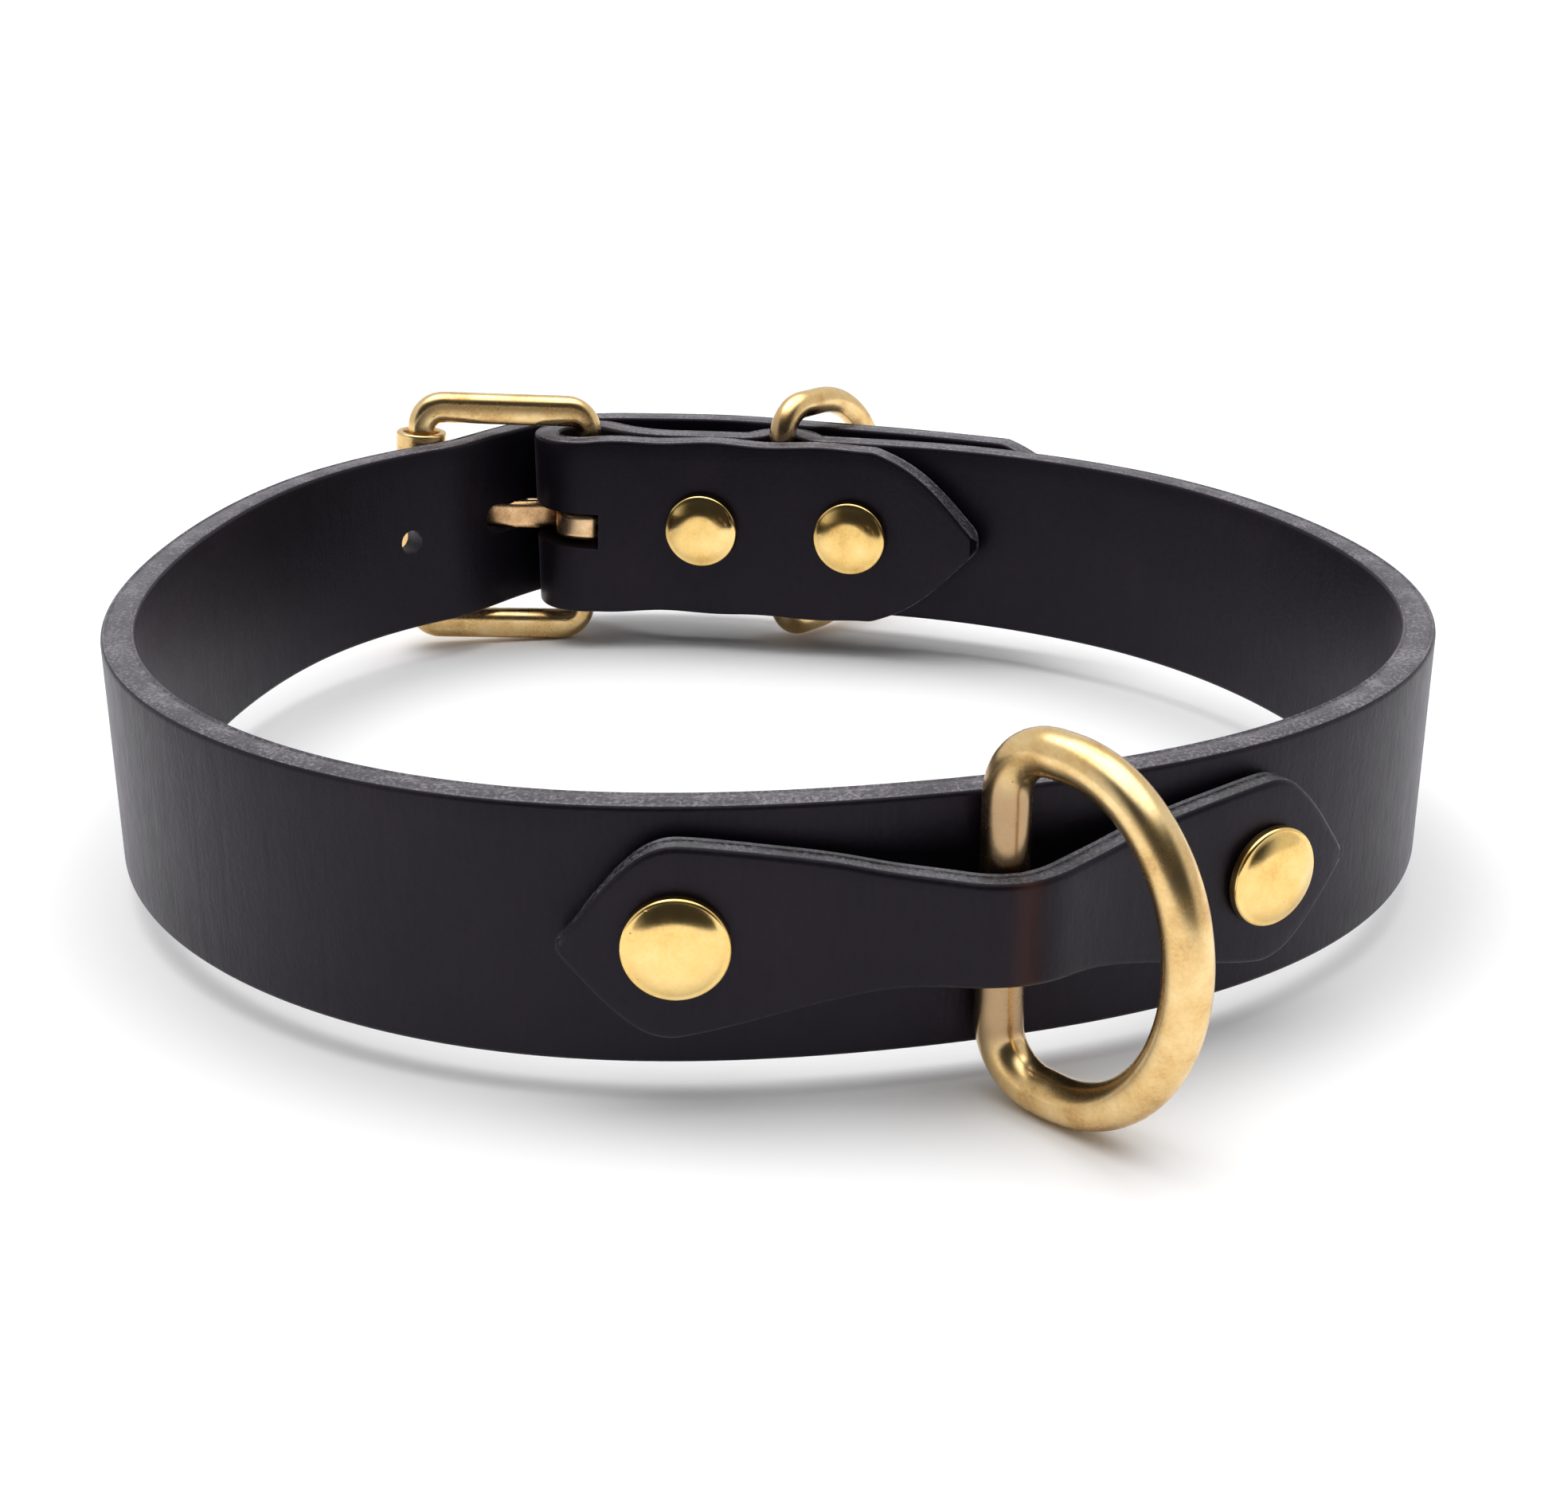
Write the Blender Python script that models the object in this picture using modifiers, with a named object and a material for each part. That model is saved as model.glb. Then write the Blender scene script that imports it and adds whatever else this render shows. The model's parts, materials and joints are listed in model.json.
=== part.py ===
# A black leather dog collar with brass fittings, buckled into a loop and standing on its edge.
# Lengths are in metres. +Z is up, the front of the collar with its leash ring faces -Y, and the
# buckle is at the back, towards +Y.
#
# The collar is laid out along its loop line, the middle of the leather seen from above. A place
# on it is "along", the distance from the buckle's heel bar clockwise round the loop, and "out",
# the distance outwards from the line.

from math import atan2, cos, hypot, pi, radians, sin, sqrt, tan

import bmesh
import bpy
from mathutils import Matrix, Vector

# Strap
STRAP_WIDTH = 0.020
STRAP_THICKNESS = 0.0029
STRAP_EDGE = 0.0005
LOOP_WIDTH = 0.1134
FLAP_REACH = 0.0463
TAIL_REACH = 0.0592
POINT_LENGTH = 0.0128
TAIL_SLACK = 0.0022
FLAP_SET_IN = 0.0024
FLAP_BOW = 0.0004
CLIMB_ANGLE = 35.0
CLEARANCE = 0.0003

# Holes that the prong goes through, counted from the one in use
HOLE_DIAMETER = 0.0027
HOLE_PITCH = 0.0131
HOLES_BEFORE = 1
HOLES_AFTER = 3

# Buckle
BUCKLE_LENGTH = 0.019
BUCKLE_CLEAR_HEIGHT = 0.0219
BUCKLE_SIDE_BAR = 0.0034
BUCKLE_DEPTH = 0.0028
BUCKLE_CORNER = 0.004
WINDOW_CORNER = 0.0006
BUCKLE_BEVEL = 0.0010
HEEL_BAR = 0.0026
FRONT_BAR = 0.0030
BUCKLE_TILT = 4.0
BUCKLE_DROP = 0.0005
ROLLER_DIAMETER = 0.0056
ROLLER_WALL = 0.0008
ROLLER_END_PLAY = 0.0011
PRONG_WIDTH = 0.0032
PRONG_THICKNESS = 0.0022
PRONG_DIP = 0.0020
PRONG_OVERHANG = 0.0024
PRONG_SLOT_PLAY = 0.0004
PRONG_HOLE_LENGTH = 0.0088
PRONG_WRAP = 255.0

# Rivets
TAB_RIVET_CAP = 0.0078
FOLD_RIVET_CAP = 0.0082
RIVET_CAP_HEIGHT = 0.0013
RIVET_CAP_ROUND = 0.0006
RIVET_POST = 0.0030
RIVET_NEAR = 0.0140
RIVET_FAR = 0.0315

# Leash ring at the front, to the middle of its wire, and its place as a share of the loop
FRONT_RING_WIRE = 0.0035
FRONT_RING_HEIGHT = 0.0257
FRONT_RING_DEPTH = 0.0161
FRONT_RING_CORNER = 0.0042
FRONT_RING_ARM = 0.0055
FRONT_RING_SHARE = 0.5004
FRONT_RING_SWING = 28.3
FRONT_RING_RISE = 0.0016

# Ring in the fold by the buckle, to the middle of its wire
BACK_RING_WIRE = 0.0030
BACK_RING_HEIGHT = 0.0257
BACK_RING_DEPTH = 0.0168
BACK_RING_CORNER = 0.0034
BACK_RING_ARM = 0.0064
BACK_RING_ALONG = 0.0227
BACK_RING_SWING = -30.0
BACK_RING_LIFT = 0.0003

# Tab that holds the leash ring
TAB_HALF_LENGTH = 0.0296
TAB_WIDTH = 0.0148
TAB_THICKNESS = 0.0022
TAB_EDGE = 0.0004
TAB_RIVET_SHARE = 0.728
TAB_BEND = 0.0250
TAB_ARCH_RADIUS = 0.0070
TAB_SHIFT = 0.0008
TAB_BOW = 0.0014

# Reach of the loop line from its middle, as a share of half the loop's width, every 22.5 degrees
# anticlockwise from the right-hand side
LOOP_REACH = (
    {"bearing": 0.0, "reach": 1.002},
    {"bearing": 22.5, "reach": 0.991},
    {"bearing": 45.0, "reach": 0.982},
    {"bearing": 67.5, "reach": 0.957},
    {"bearing": 90.0, "reach": 0.975},
    {"bearing": 112.5, "reach": 1.080},
    {"bearing": 135.0, "reach": 1.114},
    {"bearing": 157.5, "reach": 1.042},
    {"bearing": 180.0, "reach": 1.000},
    {"bearing": 202.5, "reach": 0.985},
    {"bearing": 225.0, "reach": 0.950},
    {"bearing": 247.5, "reach": 0.902},
    {"bearing": 270.0, "reach": 0.854},
    {"bearing": 292.5, "reach": 0.854},
    {"bearing": 315.0, "reach": 0.914},
    {"bearing": 337.5, "reach": 0.979},
)
HEEL_BEARING = 110.6

# Half width of a strap end, as a share of the strap's, along its point as a share of its length
POINT_SHAPE = (
    {"along": 0.00, "half_width": 1.00},
    {"along": 0.12, "half_width": 0.955},
    {"along": 0.30, "half_width": 0.84},
    {"along": 0.50, "half_width": 0.67},
    {"along": 0.70, "half_width": 0.46},
    {"along": 0.85, "half_width": 0.28},
    {"along": 0.95, "half_width": 0.15},
    {"along": 1.00, "half_width": 0.06},
)

# How the tail stands off beyond the buckle: along it as a share of its reach, and its slack
# beyond the leather over the ring as a share of the most
TAIL_SHAPE = (
    {"along": 0.14, "slack": 1.00},
    {"along": 0.27, "slack": 0.96},
    {"along": 0.40, "slack": 0.48},
    {"along": 0.59, "slack": -0.10},
    {"along": 0.79, "slack": -0.70},
    {"along": 1.00, "slack": -0.86},
)

# Half width of the ring tab, as a share of its widest, from its middle to its end
TAB_SHAPE = (
    {"along": 0.00, "half_width": 0.55},
    {"along": 0.12, "half_width": 0.57},
    {"along": 0.24, "half_width": 0.62},
    {"along": 0.36, "half_width": 0.72},
    {"along": 0.48, "half_width": 0.82},
    {"along": 0.60, "half_width": 0.92},
    {"along": 0.70, "half_width": 0.99},
    {"along": 0.75, "half_width": 1.00},
    {"along": 0.80, "half_width": 0.93},
    {"along": 0.85, "half_width": 0.77},
    {"along": 0.90, "half_width": 0.55},
    {"along": 0.95, "half_width": 0.29},
    {"along": 0.98, "half_width": 0.14},
    {"along": 1.00, "half_width": 0.06},
)

# Steps that curves are cut into
LOOP_STEP = 0.0050
BACK_STEP = 0.0022
BEND_STEP = 0.0012
FOLD_TURNS = 12
LOOP_SAMPLES = 1440

# What follows from the sizes above
HALF_STRAP = STRAP_THICKNESS / 2
LAYER = STRAP_THICKNESS + CLEARANCE
FOLD_PLAY = tan(radians(BUCKLE_TILT)) * (STRAP_WIDTH / 2 + BUCKLE_DROP) + CLEARANCE / 2
HEEL_REACH = hypot(HEEL_BAR / 2 - BUCKLE_BEVEL, BUCKLE_DEPTH / 2 - BUCKLE_BEVEL) + BUCKLE_BEVEL
FOLD_RADIUS = HEEL_REACH + FOLD_PLAY + CLEARANCE + HALF_STRAP
HEEL_OUT = FOLD_RADIUS - FLAP_SET_IN
ROLLER_RADIUS = ROLLER_DIAMETER / 2
BUCKLE_HEIGHT = BUCKLE_CLEAR_HEIGHT + 2 * BUCKLE_SIDE_BAR
FRONT_RING_HALF = (FRONT_RING_HEIGHT + FRONT_RING_WIRE) / 2
LEATHER_BLACK = (0.018, 0.015, 0.021, 1.0)
BRASS_GOLD = (0.78, 0.57, 0.25, 1.0)


def clear_scene():
    for obj in list(bpy.data.objects):
        bpy.data.objects.remove(obj, do_unlink=True)


def new_collection(name, parent):
    collection = bpy.data.collections.new(name)
    parent.children.link(collection)
    return collection


def new_material(name, colour, roughness, metallic):
    material = bpy.data.materials.new(name)
    material.use_nodes = True
    shader = material.node_tree.nodes["Principled BSDF"]
    shader.inputs["Base Color"].default_value = colour
    shader.inputs["Roughness"].default_value = roughness
    shader.inputs["Metallic"].default_value = metallic
    material.diffuse_color = colour
    return material


def leather(name):
    return new_material(name + "_leather", LEATHER_BLACK, 0.5, 0.0)


def brass(name):
    return new_material(name + "_brass", BRASS_GOLD, 0.3, 1.0)


# The loop line


def reach_at(bearing):
    """Radius of the loop line at a bearing in radians, by a smooth wave through the table."""
    count = len(LOOP_REACH)
    total = 0.0
    for row in LOOP_REACH:
        turn = (bearing - radians(row["bearing"]) + pi) % (2 * pi) - pi
        weight = 1.0
        if abs(turn) > 1e-9:
            weight = sin(count * turn / 2) / (count * tan(turn / 2))
        total += row["reach"] * weight
    return total * LOOP_WIDTH / 2


def loop_points():
    """Points clockwise round the loop line from the heel bar, and the distance along to each."""
    points = []
    for i in range(LOOP_SAMPLES + 1):
        bearing = radians(HEEL_BEARING) - 2 * pi * i / LOOP_SAMPLES
        points.append(Vector((cos(bearing), sin(bearing))) * reach_at(bearing))
    distances = [0.0]
    for here, following in zip(points, points[1:]):
        distances.append(distances[-1] + (following - here).length)
    return points, distances


LINE_POINTS, LINE_DISTANCES = loop_points()
LOOP_LENGTH = LINE_DISTANCES[-1]
FRONT_RING_ALONG = FRONT_RING_SHARE * LOOP_LENGTH
TAB_ALONG = FRONT_RING_ALONG + TAB_SHIFT
TAB_RIVET_AWAY = TAB_RIVET_SHARE * TAB_HALF_LENGTH


def line_at(along):
    """Point, direction and outward direction of the loop line."""
    along %= LOOP_LENGTH
    low, high = 0, LOOP_SAMPLES
    while high - low > 1:
        middle = (low + high) // 2
        if LINE_DISTANCES[middle] > along:
            high = middle
        else:
            low = middle
    before, after = LINE_POINTS[low - 1 if low else LOOP_SAMPLES - 1], LINE_POINTS[high]
    here = LINE_POINTS[low]
    span = LINE_DISTANCES[high] - LINE_DISTANCES[low]
    point = here.lerp(after, (along - LINE_DISTANCES[low]) / span)
    direction = (after - before).normalized()
    return point, direction, Vector((-direction.y, direction.x))


def place(along, out):
    point, _, outward = line_at(along)
    return point + outward * out


def angle_of(direction):
    return atan2(direction.y, direction.x)


HEEL_POINT = place(0.0, HEEL_OUT)
ROLLER_OUT = HALF_STRAP + ROLLER_RADIUS + CLEARANCE * 2.5


def roller_along():
    """Where the front bar crosses outside the loop line, a frame's length from the heel bar."""
    low, high = BUCKLE_LENGTH / 2, BUCKLE_LENGTH * 1.5
    for _ in range(40):
        middle = (low + high) / 2
        if (HEEL_POINT - place(-middle, ROLLER_OUT)).length < BUCKLE_LENGTH:
            low = middle
        else:
            high = middle
    return low


ROLLER_ALONG = LOOP_LENGTH - roller_along()
BUCKLE_DIRECTION = (HEEL_POINT - place(ROLLER_ALONG, ROLLER_OUT)).normalized()
BUCKLE_OUTWARD = Vector((-BUCKLE_DIRECTION.y, BUCKLE_DIRECTION.x))
FRONT_Y = place(FRONT_RING_ALONG, 0.0).y


def buckle_low():
    """How far the tilted frame reaches below the middle of its heel bar."""
    tilt = radians(BUCKLE_TILT)
    inset = BUCKLE_CORNER - HEEL_BAR / 2
    straight = BUCKLE_HEIGHT / 2 - BUCKLE_CORNER
    return straight * cos(tilt) - inset * sin(tilt) + BUCKLE_CORNER


HEEL_HEIGHT = buckle_low()
BACK_MIDDLE = HEEL_HEIGHT + BUCKLE_DROP
FRONT_MIDDLE = FRONT_RING_HALF - FRONT_RING_RISE


def middle_height(point):
    """Height of the strap's middle: it stands on the leash ring in front and the buckle behind."""
    share = (point.y - FRONT_Y) / (HEEL_POINT.y - FRONT_Y)
    return FRONT_MIDDLE + (BACK_MIDDLE - FRONT_MIDDLE) * share


# The route of the strap


def hermite(rows, at):
    """A smooth value between rows of at, out and slope."""
    for low, high in zip(rows, rows[1:]):
        if at <= high["at"]:
            break
    span = high["at"] - low["at"]
    t = min(max((at - low["at"]) / span, 0.0), 1.0)
    start = (1 + 2 * t) * (1 - t) ** 2 * low["out"] + t * (1 - t) ** 2 * span * low["slope"]
    end = t * t * (3 - 2 * t) * high["out"] - t * t * (1 - t) * span * high["slope"]
    return start + end


def row(at, out, slope=0.0):
    return {"at": at, "out": out, "slope": slope}


def over_bar(away, middle_out, radius, base, bend):
    """Layer that lies flat at base, bends up and passes over a round bar in one arc."""
    away = abs(away)
    reach = sqrt((radius + bend) ** 2 - (base + bend - middle_out) ** 2)
    if away >= reach:
        return base
    if away <= reach * radius / (radius + bend):
        return middle_out + sqrt(radius ** 2 - away ** 2)
    return base + bend - sqrt(bend ** 2 - (reach - away) ** 2)


# The flap turned back inside the loop lies nearly flat, and bows in a little behind the ring
PINCH_OUT = LAYER - FLAP_SET_IN
CAP_EDGE = FOLD_RIVET_CAP / 2
FLAP_ROUTE = (
    row(0.0, -FLAP_SET_IN),
    row(RIVET_NEAR, -FLAP_SET_IN),
    row(BACK_RING_ALONG, -FLAP_SET_IN - FLAP_BOW),
    row(RIVET_FAR, -FLAP_SET_IN),
    row(RIVET_FAR + CAP_EDGE, -FLAP_SET_IN),
    row(FLAP_REACH + POINT_LENGTH, -LAYER),
)

# The strap goes over the heel bar, is pinched by both rivets and goes over the ring between them
RING_BAR_OUT = HALF_STRAP + CLEARANCE + BACK_RING_WIRE / 2 - FLAP_SET_IN - FLAP_BOW
OVER_RING_RADIUS = BACK_RING_WIRE / 2 + CLEARANCE + HALF_STRAP
HEEL_BEND = FOLD_RADIUS * 2.4
RING_BEND = STRAP_THICKNESS * 0.85


def strap_out(along):
    if along < RIVET_NEAR:
        return over_bar(along, HEEL_OUT, FOLD_RADIUS, PINCH_OUT, HEEL_BEND)
    if along < RIVET_FAR:
        away = along - BACK_RING_ALONG
        return over_bar(away, RING_BAR_OUT, OVER_RING_RADIUS, PINCH_OUT, RING_BEND)
    settle = (row(RIVET_FAR + CAP_EDGE, PINCH_OUT), row(FLAP_REACH + POINT_LENGTH, 0.0))
    return hermite(settle, along)


# Coming round again it passes inside the roller, climbs over the fold and goes on as the tail
TAIL_RADIUS = FOLD_RADIUS + LAYER
CLIMB_START = ROLLER_ALONG
CLIMB_END = LOOP_LENGTH - TAIL_RADIUS * sin(radians(CLIMB_ANGLE))
TAIL_BY_RING = RING_BAR_OUT + OVER_RING_RADIUS + LAYER


def tail_route():
    rows = [
        row(CLIMB_START - BUCKLE_LENGTH, 0.0),
        row(CLIMB_START, CLEARANCE / 2, 0.05),
        row(CLIMB_END, HEEL_OUT + TAIL_RADIUS * cos(radians(CLIMB_ANGLE)), tan(radians(CLIMB_ANGLE))),
        row(LOOP_LENGTH, HEEL_OUT + TAIL_RADIUS + CLEARANCE / 3, 0.1),
    ]
    for item in TAIL_SHAPE:
        along = LOOP_LENGTH + item["along"] * TAIL_REACH
        rows.append(row(along, TAIL_BY_RING + item["slack"] * TAIL_SLACK))
    for before, here, after in zip(rows[3:], rows[4:], rows[5:]):
        here["slope"] = (after["out"] - before["out"]) / (after["at"] - before["at"])
    return rows


TAIL_ROUTE = tail_route()


def steps(start, end, step):
    count = max(1, round(abs(end - start) / step))
    return [start + (end - start) * i / count for i in range(count + 1)]


def point_share(from_tip):
    """Half width at a distance from a pointed end, as a share of the strap's."""
    share = 1.0 - min(from_tip / POINT_LENGTH, 1.0)
    return table_value(POINT_SHAPE, share)


def table_value(table, share):
    for low, high in zip(table, table[1:]):
        if share <= high["along"]:
            break
    t = (share - low["along"]) / (high["along"] - low["along"])
    return low["half_width"] + (high["half_width"] - low["half_width"]) * t


def point_stations(tip, shoulder):
    return [shoulder + (tip - shoulder) * item["along"] for item in POINT_SHAPE]


def strap_line():
    """Plan points of the strap's middle and its half width at each, from flap tip to tail tip."""
    line = []
    shoulder = FLAP_REACH - POINT_LENGTH
    flap = list(reversed(point_stations(FLAP_REACH, shoulder))) + steps(shoulder, 0.0, BACK_STEP)[1:]
    for along in flap:
        width = point_share(FLAP_REACH - along) * STRAP_WIDTH / 2
        line.append((place(along, hermite(FLAP_ROUTE, along)), width))
    heel, direction, outward = line_at(0.0)
    for i in range(1, FOLD_TURNS):
        turn = pi * i / FOLD_TURNS
        spoke = -outward * cos(turn) - direction * sin(turn)
        line.append((HEEL_POINT + spoke * FOLD_RADIUS, STRAP_WIDTH / 2))
    end = LOOP_LENGTH + TAIL_REACH
    tail_shoulder = end - POINT_LENGTH
    settled = FLAP_REACH + POINT_LENGTH
    runs = steps(0.0, RIVET_FAR, BEND_STEP) + steps(RIVET_FAR, settled, BACK_STEP)[1:]
    runs += steps(settled, CLIMB_START - BUCKLE_LENGTH, LOOP_STEP)[1:]
    runs += steps(CLIMB_START - BUCKLE_LENGTH, CLIMB_START, BACK_STEP)[1:]
    runs += steps(CLIMB_START, LOOP_LENGTH, BACK_STEP / 1.5)[1:]
    runs += steps(LOOP_LENGTH, tail_shoulder, BACK_STEP)[1:]
    runs += point_stations(end, tail_shoulder)[1:]
    for along in runs:
        out = strap_out(along) if along < settled * 2 else hermite(TAIL_ROUTE, along)
        line.append((place(along, out), point_share(end - along) * STRAP_WIDTH / 2))
    return line


# Making solids


def link(name, mesh, collection, material=None):
    obj = bpy.data.objects.new(name, mesh)
    collection.objects.link(obj)
    if material:
        mesh.materials.append(material)
    return obj


def ribbon(name, line, thickness, edge, collection, material):
    """A strip on edge: an open sheet through the line, thickened and with its edges rounded.
    The line holds the foot of the strip's middle as a point in space, and half its width."""
    shape = bmesh.new()
    columns = []
    for middle, half in line:
        columns.append([shape.verts.new(middle + Vector((0, 0, side * half))) for side in (-1, 1)])
    for here, following in zip(columns, columns[1:]):
        shape.faces.new((here[0], following[0], following[1], here[1]))
    mesh = bpy.data.meshes.new(name)
    shape.to_mesh(mesh)
    shape.free()
    obj = link(name, mesh, collection, material)
    wall = obj.modifiers.new("wall", "SOLIDIFY")
    wall.thickness = thickness
    wall.offset = 0.0
    wall.use_even_offset = True
    rounded = obj.modifiers.new("rounded_edges", "BEVEL")
    rounded.width = edge
    rounded.segments = 2
    rounded.limit_method = "ANGLE"
    rounded.angle_limit = radians(60)
    return obj


def in_space(plan, height):
    return Vector((plan.x, plan.y, height))


def at_middle(plan):
    return in_space(plan, middle_height(plan))


def cut(obj, cutters):
    remover = obj.modifiers.new("holes", "BOOLEAN")
    remover.operation = "DIFFERENCE"
    remover.operand_type = "COLLECTION"
    remover.collection = cutters


def as_cutter(obj):
    obj.hide_render = True
    obj.display_type = "WIRE"
    return obj


def bar_cutter(name, middle, outward, diameter, length, collection):
    """A round bar through the leather, across its thickness."""
    shape = bmesh.new()
    bmesh.ops.create_cone(
        shape, cap_ends=True, segments=16, radius1=diameter / 2, radius2=diameter / 2, depth=length
    )
    mesh = bpy.data.meshes.new(name)
    shape.to_mesh(mesh)
    shape.free()
    obj = as_cutter(link(name, mesh, collection))
    obj.location = middle
    obj.rotation_euler = (0, pi / 2, angle_of(outward))
    return obj


def turned(name, profile, collection, material=None, turns=20):
    """A solid turned about its own Z axis from a profile of radius and height."""
    shape = bmesh.new()
    closed = profile[0] == profile[-1]
    rows = profile[:-1] if closed else profile
    verts = [shape.verts.new((radius, 0, height)) for radius, height in rows]
    if closed:
        verts.append(verts[0])
    for here, following in zip(verts, verts[1:]):
        shape.edges.new((here, following))
    mesh = bpy.data.meshes.new(name)
    shape.to_mesh(mesh)
    shape.free()
    obj = link(name, mesh, collection, material)
    screw = obj.modifiers.new("turned", "SCREW")
    screw.steps = turns
    screw.render_steps = turns
    screw.use_merge_vertices = True
    screw.merge_threshold = 0.00001
    return obj


def make_strap(collection, cutters):
    line = [(at_middle(plan), half) for plan, half in strap_line()]
    strap = ribbon("strap", line, STRAP_THICKNESS, STRAP_EDGE, collection, leather("strap"))
    cut(strap, cutters)
    return strap


PRONG_RADIUS = HEEL_REACH + CLEARANCE + PRONG_THICKNESS / 2
PRONG_TIP_OUT = ROLLER_RADIUS + CLEARANCE + PRONG_THICKNESS / 2

# The prong's shank, from over the heel bar to its tip on the roller, in the buckle's own axes
SHANK_ROUTE = (
    row(0.0, PRONG_RADIUS),
    row(BUCKLE_LENGTH * 0.42, PRONG_TIP_OUT - PRONG_DIP),
    row(BUCKLE_LENGTH, PRONG_TIP_OUT, 0.05),
    row(BUCKLE_LENGTH + PRONG_OVERHANG, PRONG_TIP_OUT - PRONG_THICKNESS * 0.25, -0.2),
)


def prong_crossing():
    """Where the middle of the climbing strap meets the middle of the prong, along the loop."""
    low, high = ROLLER_ALONG, CLIMB_END
    for _ in range(40):
        middle = (low + high) / 2
        spoke = place(middle, hermite(TAIL_ROUTE, middle)) - HEEL_POINT
        if spoke.dot(BUCKLE_OUTWARD) < hermite(SHANK_ROUTE, -spoke.dot(BUCKLE_DIRECTION)):
            low = middle
        else:
            high = middle
    return low


def make_strap_holes(cutters, seat):
    """Adjusting holes, the slot in the fold and the stretched hole that the prong is in."""
    length = STRAP_THICKNESS * 2
    crossing = prong_crossing()
    for i in range(-HOLES_BEFORE, HOLES_AFTER + 1):
        if i == 0:
            continue
        along = crossing + i * HOLE_PITCH
        out = hermite(TAIL_ROUTE, along)
        outward = normal_of_route(TAIL_ROUTE, along)
        middle = at_middle(place(along, out))
        number = i + HOLES_BEFORE + 1
        bar_cutter(f"hole_{number}", middle, outward, HOLE_DIAMETER, length, cutters)

    slot_height = PRONG_WIDTH + 2 * PRONG_SLOT_PLAY
    slot_reach = FOLD_RADIUS + HALF_STRAP + CLEARANCE / 2
    profile = (
        (0.0, slot_height / 2),
        (slot_reach, slot_height / 2),
        (slot_reach, -slot_height / 2),
        (0.0, -slot_height / 2),
    )
    as_cutter(turned("fold_slot", profile, cutters, turns=32)).parent = seat

    shape = bmesh.new()
    bmesh.ops.create_cube(shape, size=1.0)
    size = Matrix.Diagonal((PRONG_HOLE_LENGTH, 4 * STRAP_THICKNESS, slot_height, 1.0))
    bmesh.ops.transform(shape, matrix=size, verts=shape.verts)
    across = [edge for edge in shape.edges if abs(edge.verts[0].co.y - edge.verts[1].co.y) > 0.001]
    bmesh.ops.bevel(
        shape, geom=across, offset=slot_height * 0.45, segments=4, profile=0.5, affect="EDGES"
    )
    mesh = bpy.data.meshes.new("prong_hole")
    shape.to_mesh(mesh)
    shape.free()
    hole = as_cutter(link("prong_hole", mesh, cutters))
    spoke = place(crossing, hermite(TAIL_ROUTE, crossing)) - HEEL_POINT
    hole.location = (spoke.dot(BUCKLE_DIRECTION), spoke.dot(BUCKLE_OUTWARD), 0.0)
    slant = angle_of(normal_of_route(TAIL_ROUTE, crossing)) - angle_of(BUCKLE_OUTWARD)
    hole.rotation_euler = (0, 0, slant)
    hole.parent = seat


def normal_of_route(route, along):
    """Outward direction of the leather itself where its route slants across the loop line."""
    small = 0.0003
    start = place(along - small, hermite(route, along - small))
    end = place(along + small, hermite(route, along + small))
    direction = (end - start).normalized()
    return Vector((-direction.y, direction.x))


# The ring tab

TAB_FLAT_OUT = HALF_STRAP + CLEARANCE + TAB_THICKNESS / 2
FRONT_BAR_OUT = HALF_STRAP + CLEARANCE + FRONT_RING_WIRE / 2
TAB_ARCH_TOP = FRONT_BAR_OUT + FRONT_RING_WIRE / 2 + CLEARANCE + TAB_THICKNESS / 2


def tab_out(away):
    """The tab lies on the strap at its ends and arches over the ring's bar in the middle."""
    middle_out = TAB_ARCH_TOP - TAB_ARCH_RADIUS
    return over_bar(away, middle_out, TAB_ARCH_RADIUS, TAB_FLAT_OUT, TAB_BEND)


def tab_rise(away):
    """How far the tab's middle has worked up the strap, at a distance from the tab's middle."""
    return TAB_BOW * (1 - (away / TAB_HALF_LENGTH) ** 2)


def make_tab(collection, cutters):
    line = []
    shares = [item["along"] for item in TAB_SHAPE]
    arch = steps(0.0, 0.2, BEND_STEP / TAB_HALF_LENGTH)
    flat = steps(0.2, 0.66, BACK_STEP / TAB_HALF_LENGTH)
    shares = arch + flat[1:] + [share for share in shares if share > 0.67]
    shares = [-share for share in reversed(shares) if share > 0] + shares
    for share in shares:
        away = share * TAB_HALF_LENGTH
        along = TAB_ALONG + away
        height = middle_height(place(along, 0.0)) + tab_rise(away)
        half = table_value(TAB_SHAPE, abs(share)) * TAB_WIDTH / 2
        line.append((in_space(place(along, tab_out(along - FRONT_RING_ALONG)), height), half))
    tab = ribbon("ring_tab", line, TAB_THICKNESS, TAB_EDGE, collection, leather("ring_tab"))
    cut(tab, cutters)
    return tab


# Rivets


def seats(along, cap, inner, outer):
    """How far in and out the leather under a cap reaches, from the loop line at the rivet."""
    point, _, outward = line_at(along)
    low, high = 0.0, 0.0
    for away in steps(-cap / 2, cap / 2, cap / 8):
        low = min(low, (place(along + away, inner(along + away)) - point).dot(outward))
        high = max(high, (place(along + away, outer(along + away)) - point).dot(outward))
    return low, high


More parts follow.
